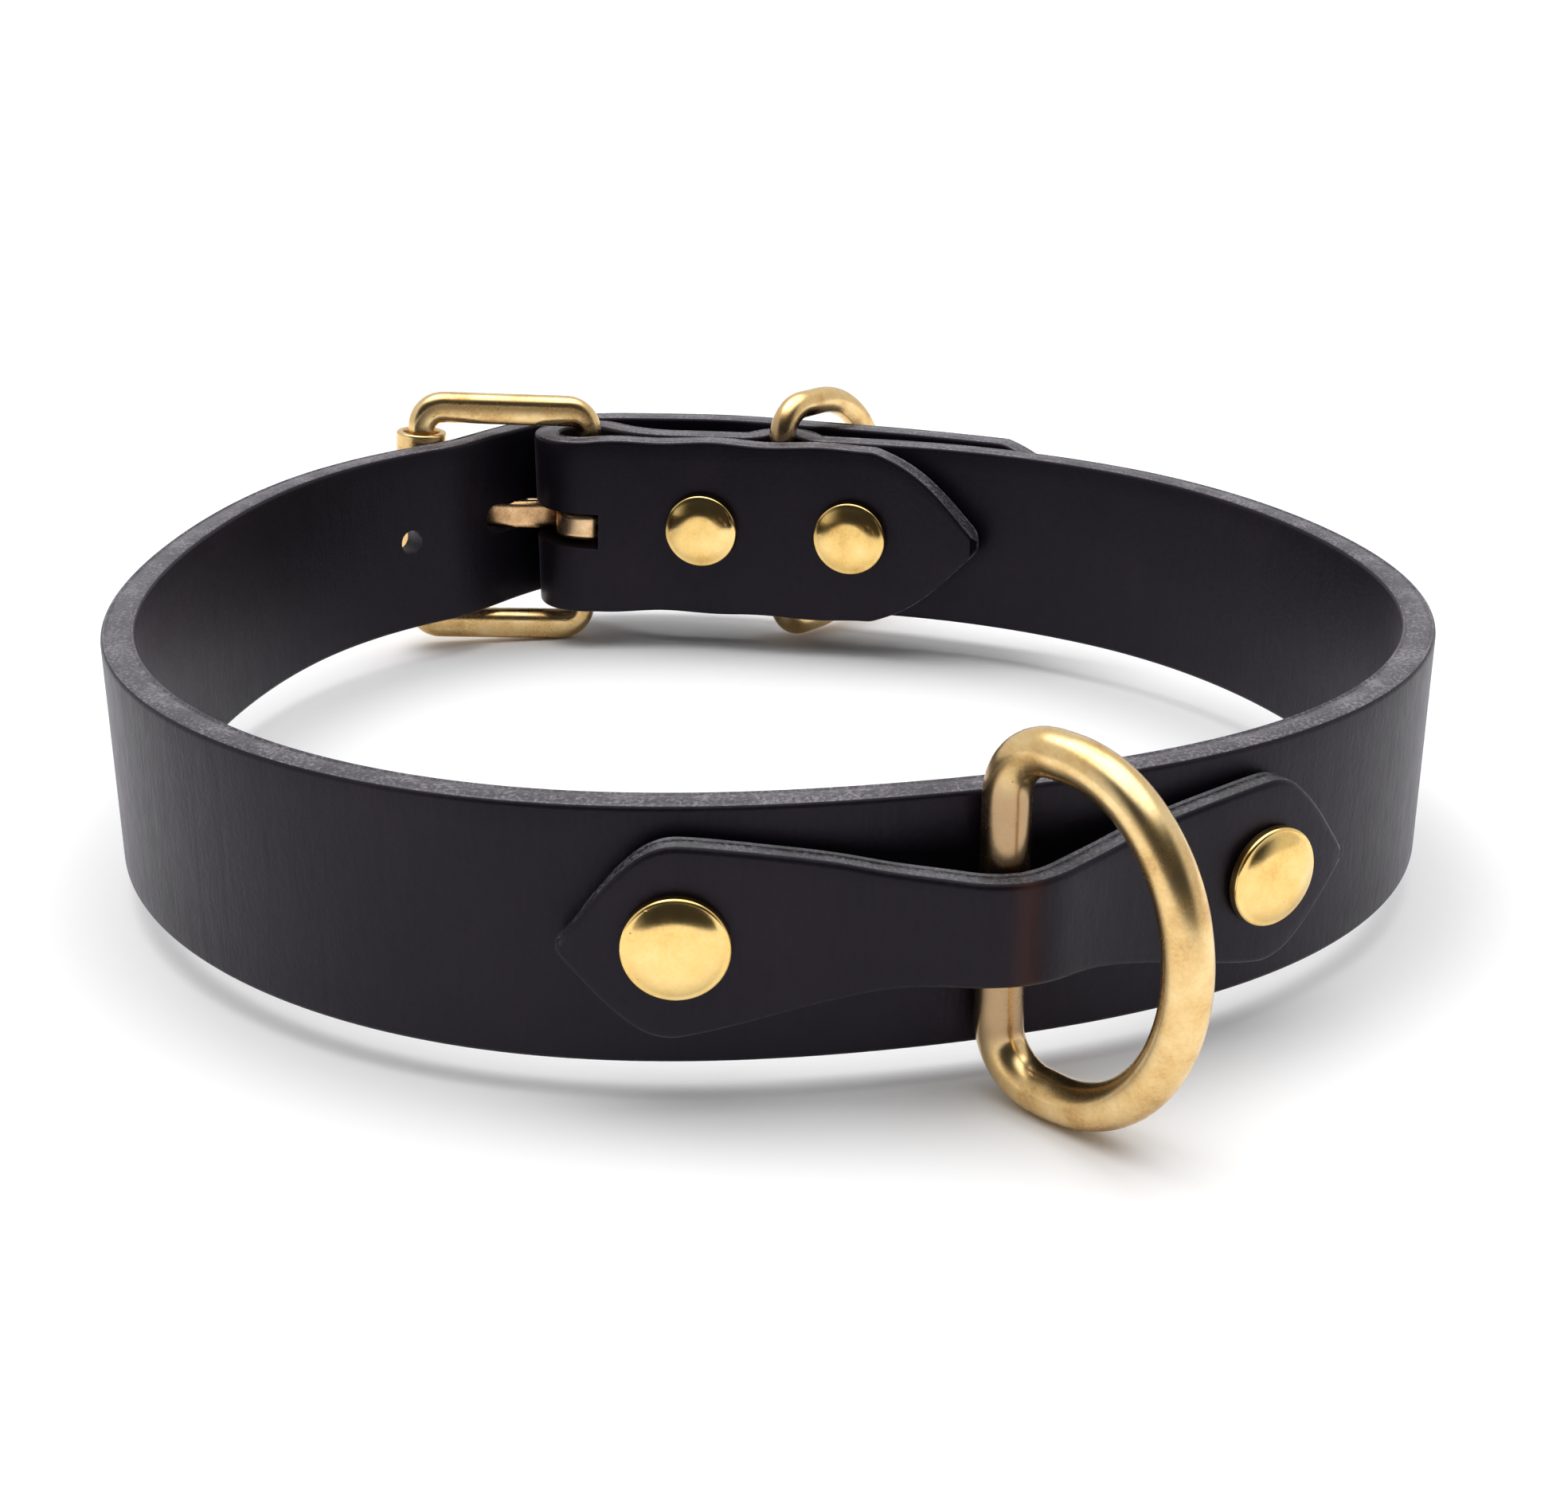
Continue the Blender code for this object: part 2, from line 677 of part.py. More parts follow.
def rivet(name, along, inner, outer, cap, collection, cutters, rise=0.0):
    """Two flat round caps on a post through the leather between its inner and outer faces."""
    point, _, outward = line_at(along)
    out_low, out_high = seats(along, cap, inner, outer)
    low = out_low - CLEARANCE
    high = out_high + CLEARANCE
    height = RIVET_CAP_HEIGHT
    soft = RIVET_CAP_ROUND
    radius = cap / 2
    profile = (
        (0.0, high + height),
        (radius - soft * 1.6, high + height),
        (radius - soft * 0.5, high + height - soft * 0.35),
        (radius, high + height - soft),
        (radius, high),
        (RIVET_POST / 2, high),
        (RIVET_POST / 2, low),
        (radius, low),
        (radius, low - height + soft),
        (radius - soft * 0.5, low - height + soft * 0.35),
        (radius - soft * 1.6, low - height),
        (0.0, low - height),
    )
    body = turned(name, profile, collection, brass(name))
    middle = in_space(point, middle_height(point) + rise)
    body.location = middle
    body.rotation_euler = (0, pi / 2, angle_of(outward))
    centre = in_space(point + outward * (out_low + out_high) / 2, middle.z)
    hole = RIVET_POST + 2 * CLEARANCE
    length = out_high - out_low + STRAP_THICKNESS
    for cutter_set in cutters:
        cutter_name = f"{name}_hole_{cutter_set.name}"
        bar_cutter(cutter_name, centre, outward, hole, length, cutter_set)
    return body


def make_rivets(collection, strap_cutters, tab_cutters):
    for name, side in (("tab_rivet_right", -1), ("tab_rivet_left", 1)):
        away = side * TAB_RIVET_AWAY
        both = (strap_cutters, tab_cutters)
        rivet(
            name, TAB_ALONG + away, lambda at: -HALF_STRAP,
            lambda at: tab_out(at - FRONT_RING_ALONG) + TAB_THICKNESS / 2,
            TAB_RIVET_CAP, collection, both, tab_rise(away),
        )
    for name, along in (("fold_rivet_near", RIVET_NEAR), ("fold_rivet_far", RIVET_FAR)):
        rivet(
            name, along, lambda at: hermite(FLAP_ROUTE, at) - HALF_STRAP,
            lambda at: strap_out(at) + HALF_STRAP,
            FOLD_RIVET_CAP, collection, (strap_cutters,),
        )


# Rings


def ring_outline(height, depth, corner, arm):
    """The D, from the middle of its bar: X away from the bar and Z up."""
    half = height / 2
    points = [(0.0, corner - half), (0.0, half - corner)]
    for i in range(1, 6):
        turn = pi - (pi / 2) * i / 5
        points.append((corner * (1 + cos(turn)), half - corner * (1 - sin(turn))))
    for i in range(0, 17):
        turn = pi / 2 - pi * i / 16
        points.append((arm + (depth - arm) * cos(turn), half * sin(turn)))
    for i in range(0, 5):
        turn = -pi / 2 - (pi / 2) * i / 5
        points.append((corner * (1 + cos(turn)), corner * (1 + sin(turn)) - half))
    return points


def as_mesh(guide):
    """The mesh of a curve, joined up into one closed body."""
    bpy.context.view_layer.update()
    evaluated = guide.evaluated_get(bpy.context.evaluated_depsgraph_get())
    mesh = bpy.data.meshes.new_from_object(evaluated)
    shape = bmesh.new()
    shape.from_mesh(mesh)
    bmesh.ops.remove_doubles(shape, verts=shape.verts, dist=0.000001)
    bmesh.ops.recalc_face_normals(shape, faces=shape.faces)
    shape.to_mesh(mesh)
    shape.free()
    mesh.materials.clear()
    bpy.data.objects.remove(guide)
    return mesh


def make_ring(name, outline, wire, along, out, middle, swing, collection):
    """A closed D of round wire. Its origin is in the middle of its bar, the axis it swings on."""
    curve = bpy.data.curves.new(name + "_line", "CURVE")
    curve.dimensions = "3D"
    spline = curve.splines.new("POLY")
    spline.points.add(len(outline) - 1)
    for point, (away, up) in zip(spline.points, outline):
        point.co = (away, 0.0, up, 1.0)
    spline.use_cyclic_u = True
    curve.bevel_depth = wire / 2
    curve.bevel_resolution = 3
    guide = bpy.data.objects.new(name + "_line", curve)
    collection.objects.link(guide)
    ring = link(name, as_mesh(guide), collection, brass(name))
    point, _, outward = line_at(along)
    ring.location = in_space(point + outward * out, middle)
    ring.rotation_euler = (0, 0, angle_of(outward) + radians(swing))
    return ring


def make_rings(collection):
    leash = ring_outline(FRONT_RING_HEIGHT, FRONT_RING_DEPTH, FRONT_RING_CORNER, FRONT_RING_ARM)
    make_ring(
        "front_ring", leash, FRONT_RING_WIRE, FRONT_RING_ALONG, FRONT_BAR_OUT,
        FRONT_RING_HALF, FRONT_RING_SWING, collection,
    )
    fold = ring_outline(BACK_RING_HEIGHT, BACK_RING_DEPTH, BACK_RING_CORNER, BACK_RING_ARM)
    middle = middle_height(place(BACK_RING_ALONG, RING_BAR_OUT)) + BACK_RING_LIFT
    make_ring(
        "back_ring", fold, BACK_RING_WIRE, BACK_RING_ALONG, RING_BAR_OUT,
        middle, BACK_RING_SWING, collection,
    )


# Buckle

def make_buckle_seat(collection):
    """An empty on the heel bar: X along the frame away from the roller, Y outwards."""
    seat = bpy.data.objects.new("buckle_seat", None)
    seat.empty_display_size = 0.01
    collection.objects.link(seat)
    seat.location = in_space(HEEL_POINT, HEEL_HEIGHT)
    seat.rotation_euler = (0, radians(BUCKLE_TILT), angle_of(BUCKLE_DIRECTION))
    return seat


def rounded_rectangle(low_x, high_x, half_height, corner, turns):
    points = []
    centres = (
        (high_x - corner, half_height - corner, 0.0),
        (low_x + corner, half_height - corner, pi / 2),
        (low_x + corner, -half_height + corner, pi),
        (high_x - corner, -half_height + corner, 3 * pi / 2),
    )
    for x, z, start in centres:
        for i in range(turns + 1):
            turn = start + (pi / 2) * i / turns
            points.append((x + corner * cos(turn), z + corner * sin(turn)))
    return points


def make_frame(collection, seat):
    """The cast frame: a flat sheet with one window, thickened and with its edges rounded."""
    outer = rounded_rectangle(
        -BUCKLE_LENGTH - FRONT_BAR / 2, HEEL_BAR / 2, BUCKLE_HEIGHT / 2, BUCKLE_CORNER, 5
    )
    window = rounded_rectangle(
        -BUCKLE_LENGTH + FRONT_BAR / 2, -HEEL_BAR / 2, BUCKLE_CLEAR_HEIGHT / 2, WINDOW_CORNER, 5
    )
    shape = bmesh.new()
    rims = [[shape.verts.new((x, 0.0, z)) for x, z in outline] for outline in (outer, window)]
    for i in range(len(outer)):
        shape.faces.new((rims[0][i - 1], rims[0][i], rims[1][i], rims[1][i - 1]))
    mesh = bpy.data.meshes.new("buckle_frame")
    shape.to_mesh(mesh)
    shape.free()
    frame = link("buckle_frame", mesh, collection, brass("buckle_frame"))
    frame.parent = seat
    wall = frame.modifiers.new("wall", "SOLIDIFY")
    wall.thickness = BUCKLE_DEPTH
    wall.offset = 0.0
    rounded = frame.modifiers.new("rounded_edges", "BEVEL")
    rounded.use_clamp_overlap = False
    rounded.width = BUCKLE_BEVEL
    rounded.segments = 2
    rounded.limit_method = "ANGLE"
    rounded.angle_limit = radians(60)
    return frame


def make_roller(collection, seat):
    """A tube loose on the front bar."""
    half = BUCKLE_CLEAR_HEIGHT / 2 - ROLLER_END_PLAY
    inner = ROLLER_RADIUS - ROLLER_WALL
    soft = ROLLER_WALL / 3
    profile = (
        (inner, half),
        (ROLLER_RADIUS - soft, half),
        (ROLLER_RADIUS, half - soft),
        (ROLLER_RADIUS, soft - half),
        (ROLLER_RADIUS - soft, -half),
        (inner, -half),
        (inner, half),
    )
    roller = turned("buckle_roller", profile, collection, brass("buckle_roller"))
    roller.location = (-BUCKLE_LENGTH, 0.0, 0.0)
    roller.parent = seat
    return roller


def prong_line():
    """Plan of the prong in the buckle's own axes: a loop on the heel bar, then the shank."""
    points = []
    for i in range(FOLD_TURNS + 1):
        turn = pi / 2 + radians(PRONG_WRAP) * (1 - i / FOLD_TURNS)
        points.append(Vector((-cos(turn), sin(turn))) * PRONG_RADIUS)
    for away in steps(0.0, BUCKLE_LENGTH + PRONG_OVERHANG, BACK_STEP)[1:]:
        points.append(Vector((-away, hermite(SHANK_ROUTE, away))))
    return points


def make_prong(collection, seat):
    line = [(in_space(plan, 0.0), PRONG_WIDTH / 2) for plan in prong_line()]
    material = brass("buckle_prong")
    prong = ribbon("buckle_prong", line, PRONG_THICKNESS, PRONG_THICKNESS * 0.25, collection, material)
    prong.parent = seat
    return prong


def shade(collection):
    for obj in collection.objects:
        if obj.type == "MESH":
            obj.data.shade_smooth()
            obj.data.set_sharp_from_angle(angle=radians(40))


def centre_on_base(collection):
    """Puts the origin under the middle of the whole collar, on the surface that it stands on."""
    bpy.context.view_layer.update()
    graph = bpy.context.evaluated_depsgraph_get()
    low, high = Vector((1e9,) * 3), Vector((-1e9,) * 3)
    for obj in collection.objects:
        if obj.type == "EMPTY":
            continue
        evaluated = obj.evaluated_get(graph)
        mesh = evaluated.to_mesh()
        for vertex in mesh.vertices:
            point = evaluated.matrix_world @ vertex.co
            low = Vector(map(min, low, point))
            high = Vector(map(max, high, point))
        evaluated.to_mesh_clear()
    middle = bpy.data.objects["collar"]
    middle.location = (-(low.x + high.x) / 2, -(low.y + high.y) / 2, -low.z)


def main():
    clear_scene()
    parts = new_collection("dog_collar", bpy.context.scene.collection)
    cutters = new_collection("cutters", bpy.context.scene.collection)
    strap_cutters = new_collection("strap_cutters", cutters)
    tab_cutters = new_collection("tab_cutters", cutters)
    seat = make_buckle_seat(parts)
    make_strap_holes(strap_cutters, seat)
    make_strap(parts, strap_cutters)
    make_tab(parts, tab_cutters)
    make_rivets(parts, strap_cutters, tab_cutters)
    make_rings(parts)
    make_frame(parts, seat)
    make_roller(parts, seat)
    make_prong(parts, seat)
    shade(parts)
    origin = bpy.data.objects.new("collar", None)
    parts.objects.link(origin)
    for obj in bpy.data.objects:
        if obj.parent is None and obj is not origin:
            obj.parent = origin
    centre_on_base(parts)


main()
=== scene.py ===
# The looks of a black leather dog collar with aged brass fittings, built round its plain solids.
# Lengths are in metres and angles in degrees. +Z is up and the front of the collar faces -Y.
#
# The sizes and the strap's route repeat those of the solids, so that each finer piece lies where
# its solid is. "along" is the distance from the buckle's heel bar clockwise round the loop line,
# the middle of the leather seen from above, and "out" is the distance outwards from that line.

import json
from math import atan2, cos, exp, hypot, pi, radians, sin, sqrt, tan

import bmesh
import bpy
from mathutils import Euler, Matrix, Vector

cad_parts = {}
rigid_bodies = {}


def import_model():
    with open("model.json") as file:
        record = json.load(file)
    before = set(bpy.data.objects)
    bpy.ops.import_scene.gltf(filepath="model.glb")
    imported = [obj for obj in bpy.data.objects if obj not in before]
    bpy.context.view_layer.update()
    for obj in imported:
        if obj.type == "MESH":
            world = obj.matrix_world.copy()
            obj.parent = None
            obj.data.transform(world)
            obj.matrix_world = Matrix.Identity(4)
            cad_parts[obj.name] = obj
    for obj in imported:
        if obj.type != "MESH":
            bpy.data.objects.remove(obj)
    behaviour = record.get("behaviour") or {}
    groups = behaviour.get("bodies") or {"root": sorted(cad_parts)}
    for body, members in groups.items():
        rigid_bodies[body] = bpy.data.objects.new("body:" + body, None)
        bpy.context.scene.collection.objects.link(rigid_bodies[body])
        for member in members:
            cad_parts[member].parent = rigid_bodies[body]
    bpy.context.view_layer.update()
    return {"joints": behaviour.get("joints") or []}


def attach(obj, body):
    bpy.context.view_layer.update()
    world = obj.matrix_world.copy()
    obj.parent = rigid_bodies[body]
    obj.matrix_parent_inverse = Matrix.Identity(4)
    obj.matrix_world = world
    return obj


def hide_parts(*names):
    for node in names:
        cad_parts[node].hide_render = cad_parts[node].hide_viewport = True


# Strap
STRAP_WIDTH = 0.020
STRAP_THICKNESS = 0.0029
LOOP_WIDTH = 0.1134
FLAP_REACH = 0.0463
TAIL_REACH = 0.0592
POINT_LENGTH = 0.0128
TAIL_SLACK = 0.0022
FLAP_SET_IN = 0.0024
FLAP_BOW = 0.0004
CLIMB_ANGLE = 35.0
CLEARANCE = 0.0003

# Holes that the prong goes through, counted from the one in use
HOLE_DIAMETER = 0.0027
HOLE_PITCH = 0.0131
HOLES_BEFORE = 1
HOLES_AFTER = 3

# Buckle
BUCKLE_LENGTH = 0.019
BUCKLE_CLEAR_HEIGHT = 0.0219
BUCKLE_SIDE_BAR = 0.0034
BUCKLE_DEPTH = 0.0028
BUCKLE_CORNER = 0.004
WINDOW_CORNER = 0.0008
BUCKLE_BEVEL = 0.0011
HEEL_BAR = 0.0026
FRONT_BAR = 0.0030
BUCKLE_TILT = 4.0
BUCKLE_DROP = 0.0005
ROLLER_DIAMETER = 0.0056
ROLLER_WALL = 0.0008
ROLLER_END_PLAY = 0.0011
PRONG_WIDTH = 0.0032
PRONG_THICKNESS = 0.0022
PRONG_DIP = 0.0020
PRONG_OVERHANG = 0.0024
PRONG_SLOT_PLAY = 0.0004
PRONG_HOLE_LENGTH = 0.0088
PRONG_WRAP = 255.0

# Rivets
TAB_RIVET_CAP = 0.0078
FOLD_RIVET_CAP = 0.0082
RIVET_CAP_HEIGHT = 0.0013
RIVET_POST = 0.0030
RIVET_NEAR = 0.0140
RIVET_FAR = 0.0315

# Leash ring at the front, to the middle of its wire, and its place as a share of the loop
FRONT_RING_WIRE = 0.0035
FRONT_RING_HEIGHT = 0.0257
FRONT_RING_DEPTH = 0.0161
FRONT_RING_CORNER = 0.0042
FRONT_RING_ARM = 0.0055
FRONT_RING_SHARE = 0.5004
FRONT_RING_SWING = 28.3
FRONT_RING_RISE = 0.0016

# Ring in the fold by the buckle, to the middle of its wire
BACK_RING_WIRE = 0.0030
BACK_RING_HEIGHT = 0.0257
BACK_RING_DEPTH = 0.0168
BACK_RING_CORNER = 0.0034
BACK_RING_ARM = 0.0064
BACK_RING_ALONG = 0.0227
BACK_RING_SWING = -30.0
BACK_RING_LIFT = 0.0003

# Tab that holds the leash ring
TAB_HALF_LENGTH = 0.0296
TAB_WIDTH = 0.0148
TAB_THICKNESS = 0.0022
TAB_RIVET_SHARE = 0.728
TAB_BEND = 0.0250
TAB_ARCH_RADIUS = 0.0070
TAB_SHIFT = 0.0008
TAB_BOW = 0.0014

# Reach of the loop line from its middle, as a share of half the loop's width, every 22.5 degrees
# anticlockwise from the right-hand side
LOOP_REACH = (
    {"bearing": 0.0, "reach": 1.002},
    {"bearing": 22.5, "reach": 0.991},
    {"bearing": 45.0, "reach": 0.982},
    {"bearing": 67.5, "reach": 0.957},
    {"bearing": 90.0, "reach": 0.975},
    {"bearing": 112.5, "reach": 1.080},
    {"bearing": 135.0, "reach": 1.114},
    {"bearing": 157.5, "reach": 1.042},
    {"bearing": 180.0, "reach": 1.000},
    {"bearing": 202.5, "reach": 0.985},
    {"bearing": 225.0, "reach": 0.950},
    {"bearing": 247.5, "reach": 0.902},
    {"bearing": 270.0, "reach": 0.854},
    {"bearing": 292.5, "reach": 0.854},
    {"bearing": 315.0, "reach": 0.914},
    {"bearing": 337.5, "reach": 0.979},
)
HEEL_BEARING = 110.6

# Half width of a strap end, as a share of the strap's, along its point as a share of its length
POINT_SHAPE = (
    {"at": 0.00, "value": 1.00},
    {"at": 0.12, "value": 0.955},
    {"at": 0.30, "value": 0.84},
    {"at": 0.50, "value": 0.67},
    {"at": 0.70, "value": 0.46},
    {"at": 0.85, "value": 0.28},
    {"at": 0.95, "value": 0.15},
    {"at": 1.00, "value": 0.06},
)

# How the tail stands off beyond the buckle: along it as a share of its reach, and its slack
# beyond the leather over the ring as a share of the most
TAIL_SHAPE = (
    {"at": 0.14, "value": 1.00},
    {"at": 0.27, "value": 0.96},
    {"at": 0.40, "value": 0.48},
    {"at": 0.59, "value": -0.10},
    {"at": 0.79, "value": -0.70},
    {"at": 1.00, "value": -0.86},
)

# Half width of the ring tab, as a share of its widest, from its middle to its end
TAB_SHAPE = (
    {"at": 0.00, "value": 0.55},
    {"at": 0.12, "value": 0.57},
    {"at": 0.24, "value": 0.62},
    {"at": 0.36, "value": 0.72},
    {"at": 0.48, "value": 0.82},
    {"at": 0.60, "value": 0.92},
    {"at": 0.70, "value": 0.99},
    {"at": 0.75, "value": 1.00},
    {"at": 0.80, "value": 0.93},
    {"at": 0.85, "value": 0.77},
    {"at": 0.90, "value": 0.55},
    {"at": 0.95, "value": 0.29},
    {"at": 0.98, "value": 0.14},
    {"at": 1.00, "value": 0.06},
)

# Finer shape of the leather: its rounded edges and crowned rims, its thinned tips, the crease that
# the ring's bar pressed into the tab, measured from the tab's middle, the faint wave along the
# edges of the turned-back end, and the fit of the hole that the prong has stretched
STRAP_EDGE = 0.00048
TAB_EDGE = 0.00062
RIM_CROWN = 0.00015
TIP_ROUND = 0.0009
TIP_THINNEST = 0.25
POINT_END_SLOPE = -1.8
TAB_END_SLOPE = -6.0
TAB_CREASE = -0.0010
TAB_CREASE_WIDTH = 0.0008
TAB_CREASE_RIDGE = 0.00010
FLAP_WAVE = 0.00012
FLAP_WAVE_LENGTH = 0.0122
PRONG_HOLE_PLAY = 0.00005
PRONG_HOLE_ROUND = 0.45

# Finer shape of the brass: the shoulder of the rivets' caps, the bead where each ring is brazed and
# how far from its bar the heat shows, and the prong's edges and taper. The solid frame's edges have
# a bevel of their own, which the fold is fitted to.
SOLID_BEVEL = 0.0010
CAP_SHOULDER = 0.0024
CAP_FALL = 0.00062
CAP_EDGE_ROUND = 0.00030
CAP_FOOT = 0.0001
FRONT_BEAD = 0.00010
BACK_BEAD = 0.00008
BEAD_SIZE = 0.0012
HEAT_FADE = 0.0007
HEAT_DEPTH = 3.0
PRONG_EDGE = 0.0006
PRONG_TAPER = 0.25
PRONG_TAPER_FROM = 0.75

# How finely each curve is drawn
LOOP_SAMPLES = 1440
STRAP_STEP = 0.0011
BEND_STEP = 0.0005
RING_STEP = 0.0006
FOLD_TURNS = 32
HOLE_TURNS = 40
LATHE_TURNS = 64
WIRE_TURNS = 28
RING_CORNER_TURNS = 15
RING_BOW_TURNS = 72
FRAME_CORNER_TURNS = 14
PRONG_LOOP_TURNS = 40
FACE_STEPS = 5
CORNER_STEPS = 5
RIM_STEPS = 3
CAP_FLAT_STEPS = 3
CAP_SHOULDER_STEPS = 8
CAP_EDGE_STEPS = 6
ROLLER_EDGE_STEPS = 5
SHARP_ANGLE = 40.0
FRAME_SHARP_ANGLE = 60.0

# Patterns of the surfaces, by the size of one feature
GRAIN_ACROSS = 0.00030
GRAIN_LENGTH = 0.0021
PORE_SPACING = 0.00042
WRINKLE_ACROSS = 0.0026
WRINKLE_LENGTH = 0.014
DYE_CLOUD = 0.009
FIBRE_SIZE = 0.0003
HIDE_LAYER = 0.0035
PATINA_CLOUD = 0.0035
RUB_ACROSS = 0.00025
RUB_LENGTH = 0.0024
PIT_SPACING = 0.0013
PAPER_TOOTH = 0.0006

# Colours, from the darkest leather to the palest and from the brightest metal to the dullest
LEATHER_DYE = ("#0a070c", "#0f0b12", "#17121a")
BARE_HIDE = "#331d17"
WAX_TINT = "#f0e4fb"
WAX_BLOOM = "#dccfe6"
STRAP_RIM = ("#242026", "#3e3a41", "#7f7a82")
TAB_RIM = ("#121014", "#222025", "#5a565e")
TUMBLED_BRASS = ("#f0d39c", "#e0bc80", "#b88d57")
POLISHED_BRASS = ("#f8d893", "#f0c97c", "#d8a95e")
DRAWN_BRASS = ("#f0d0a4", "#dcb384", "#a57c52")
HEATED_BRASS = "#aa8e6c"
PIT_BROWN = "#5a3d1d"
PAPER_WHITE = "#f7f7f8"

# Camera, from the middle of the loop line, and floor
CAMERA_PLACE = (0.00142, -0.18971, 0.08047)
CAMERA_PITCH = 20.864
CAMERA_LENS = 50.5
FLOOR_RADIUS = 12.0

# Light: a white tent that is brighter overhead and has a dark gap towards one side, and a softbox.
# Each edge runs between two cosines from the gap's or the tent's middle.
DARK_SIDE = (0.06, -0.87, 0.49)
TENT_LEVEL = 0.78
GAP_LEVEL = 0.03
GAP_EDGE = (0.40, 0.80)
OVERHEAD_LEVEL = 2.4
OVERHEAD_EDGE = (0.68, 0.96)
SOFTBOX_PLACE = (-0.25, 0.15, 0.80)
SOFTBOX_SIZE = 0.50
SOFTBOX_POWER = 0.8

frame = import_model()

# What follows from the sizes above
HALF_STRAP = STRAP_THICKNESS / 2
LAYER = STRAP_THICKNESS + CLEARANCE
FOLD_PLAY = tan(radians(BUCKLE_TILT)) * (STRAP_WIDTH / 2 + BUCKLE_DROP) + CLEARANCE / 2
HEEL_REACH = hypot(HEEL_BAR / 2 - SOLID_BEVEL, BUCKLE_DEPTH / 2 - SOLID_BEVEL) + SOLID_BEVEL
FOLD_RADIUS = HEEL_REACH + FOLD_PLAY + CLEARANCE + HALF_STRAP
HEEL_OUT = FOLD_RADIUS - FLAP_SET_IN
ROLLER_RADIUS = ROLLER_DIAMETER / 2
BUCKLE_HEIGHT = BUCKLE_CLEAR_HEIGHT + 2 * BUCKLE_SIDE_BAR
FRONT_RING_HALF = (FRONT_RING_HEIGHT + FRONT_RING_WIRE) / 2


# The loop line


def reach_at(bearing):
    """Radius of the loop line at a bearing in radians, by a smooth wave through the table."""
    count = len(LOOP_REACH)
    total = 0.0
    for item in LOOP_REACH:
        turn = (bearing - radians(item["bearing"]) + pi) % (2 * pi) - pi
        weight = 1.0
        if abs(turn) > 1e-9:
            weight = sin(count * turn / 2) / (count * tan(turn / 2))
        total += item["reach"] * weight
    return total * LOOP_WIDTH / 2


def loop_points():
    """Points clockwise round the loop line from the heel bar, and the distance along to each."""
    points = []
    for i in range(LOOP_SAMPLES + 1):
        bearing = radians(HEEL_BEARING) - 2 * pi * i / LOOP_SAMPLES
        points.append(Vector((cos(bearing), sin(bearing))) * reach_at(bearing))
    distances = [0.0]
    for here, following in zip(points, points[1:]):
        distances.append(distances[-1] + (following - here).length)
    return points, distances


LINE_POINTS, LINE_DISTANCES = loop_points()
LOOP_LENGTH = LINE_DISTANCES[-1]
FRONT_RING_ALONG = FRONT_RING_SHARE * LOOP_LENGTH
TAB_ALONG = FRONT_RING_ALONG + TAB_SHIFT
TAB_RIVET_AWAY = TAB_RIVET_SHARE * TAB_HALF_LENGTH


def line_at(along):
    """Point, direction and outward direction of the loop line."""
    along %= LOOP_LENGTH
    low, high = 0, LOOP_SAMPLES
    while high - low > 1:
        middle = (low + high) // 2
        if LINE_DISTANCES[middle] > along:
            high = middle
        else:
            low = middle
    span = LINE_DISTANCES[high] - LINE_DISTANCES[low]
    share = (along - LINE_DISTANCES[low]) / span
    before = LINE_POINTS[low - 1 if low else LOOP_SAMPLES - 1]
    after = LINE_POINTS[high + 1 if high < LOOP_SAMPLES else 1]
    point = LINE_POINTS[low].lerp(LINE_POINTS[high], share)
    early = (LINE_POINTS[high] - before).normalized()
    late = (after - LINE_POINTS[low]).normalized()
    direction = early.lerp(late, share).normalized()
    return point, direction, Vector((-direction.y, direction.x))


def place(along, out):
    point, _, outward = line_at(along)
    return point + outward * out


def angle_of(direction):
    return atan2(direction.y, direction.x)


HEEL_POINT = place(0.0, HEEL_OUT)
ROLLER_OUT = HALF_STRAP + ROLLER_RADIUS + CLEARANCE * 2.5


def roller_along():
    """Where the front bar crosses outside the loop line, a frame's length from the heel bar."""
    low, high = BUCKLE_LENGTH / 2, BUCKLE_LENGTH * 1.5
    for _ in range(40):
        middle = (low + high) / 2
        if (HEEL_POINT - place(-middle, ROLLER_OUT)).length < BUCKLE_LENGTH:
            low = middle
        else:
            high = middle
    return low


ROLLER_ALONG = LOOP_LENGTH - roller_along()
BUCKLE_DIRECTION = (HEEL_POINT - place(ROLLER_ALONG, ROLLER_OUT)).normalized()
BUCKLE_OUTWARD = Vector((-BUCKLE_DIRECTION.y, BUCKLE_DIRECTION.x))
FRONT_Y = place(FRONT_RING_ALONG, 0.0).y


def buckle_low():
    """How far the tilted frame reaches below the middle of its heel bar."""
    tilt = radians(BUCKLE_TILT)
    inset = BUCKLE_CORNER - HEEL_BAR / 2
    straight = BUCKLE_HEIGHT / 2 - BUCKLE_CORNER
    return straight * cos(tilt) - inset * sin(tilt) + BUCKLE_CORNER


HEEL_HEIGHT = buckle_low()
BACK_MIDDLE = HEEL_HEIGHT + BUCKLE_DROP
FRONT_MIDDLE = FRONT_RING_HALF - FRONT_RING_RISE


def middle_height(point):
    """Height of the strap's middle: it stands on the leash ring in front and the buckle behind."""
    share = (point.y - FRONT_Y) / (HEEL_POINT.y - FRONT_Y)
    return FRONT_MIDDLE + (BACK_MIDDLE - FRONT_MIDDLE) * share


# The route of the strap


def hermite(rows, at):
    """A smooth value between rows of at, value and slope."""
    for low, high in zip(rows, rows[1:]):
        if at <= high["at"]:
            break
    span = high["at"] - low["at"]
    t = min(max((at - low["at"]) / span, 0.0), 1.0)
    start = (1 + 2 * t) * (1 - t) ** 2 * low["value"] + t * (1 - t) ** 2 * span * low["slope"]
    end = t * t * (3 - 2 * t) * high["value"] - t * t * (1 - t) * span * high["slope"]
    return start + end


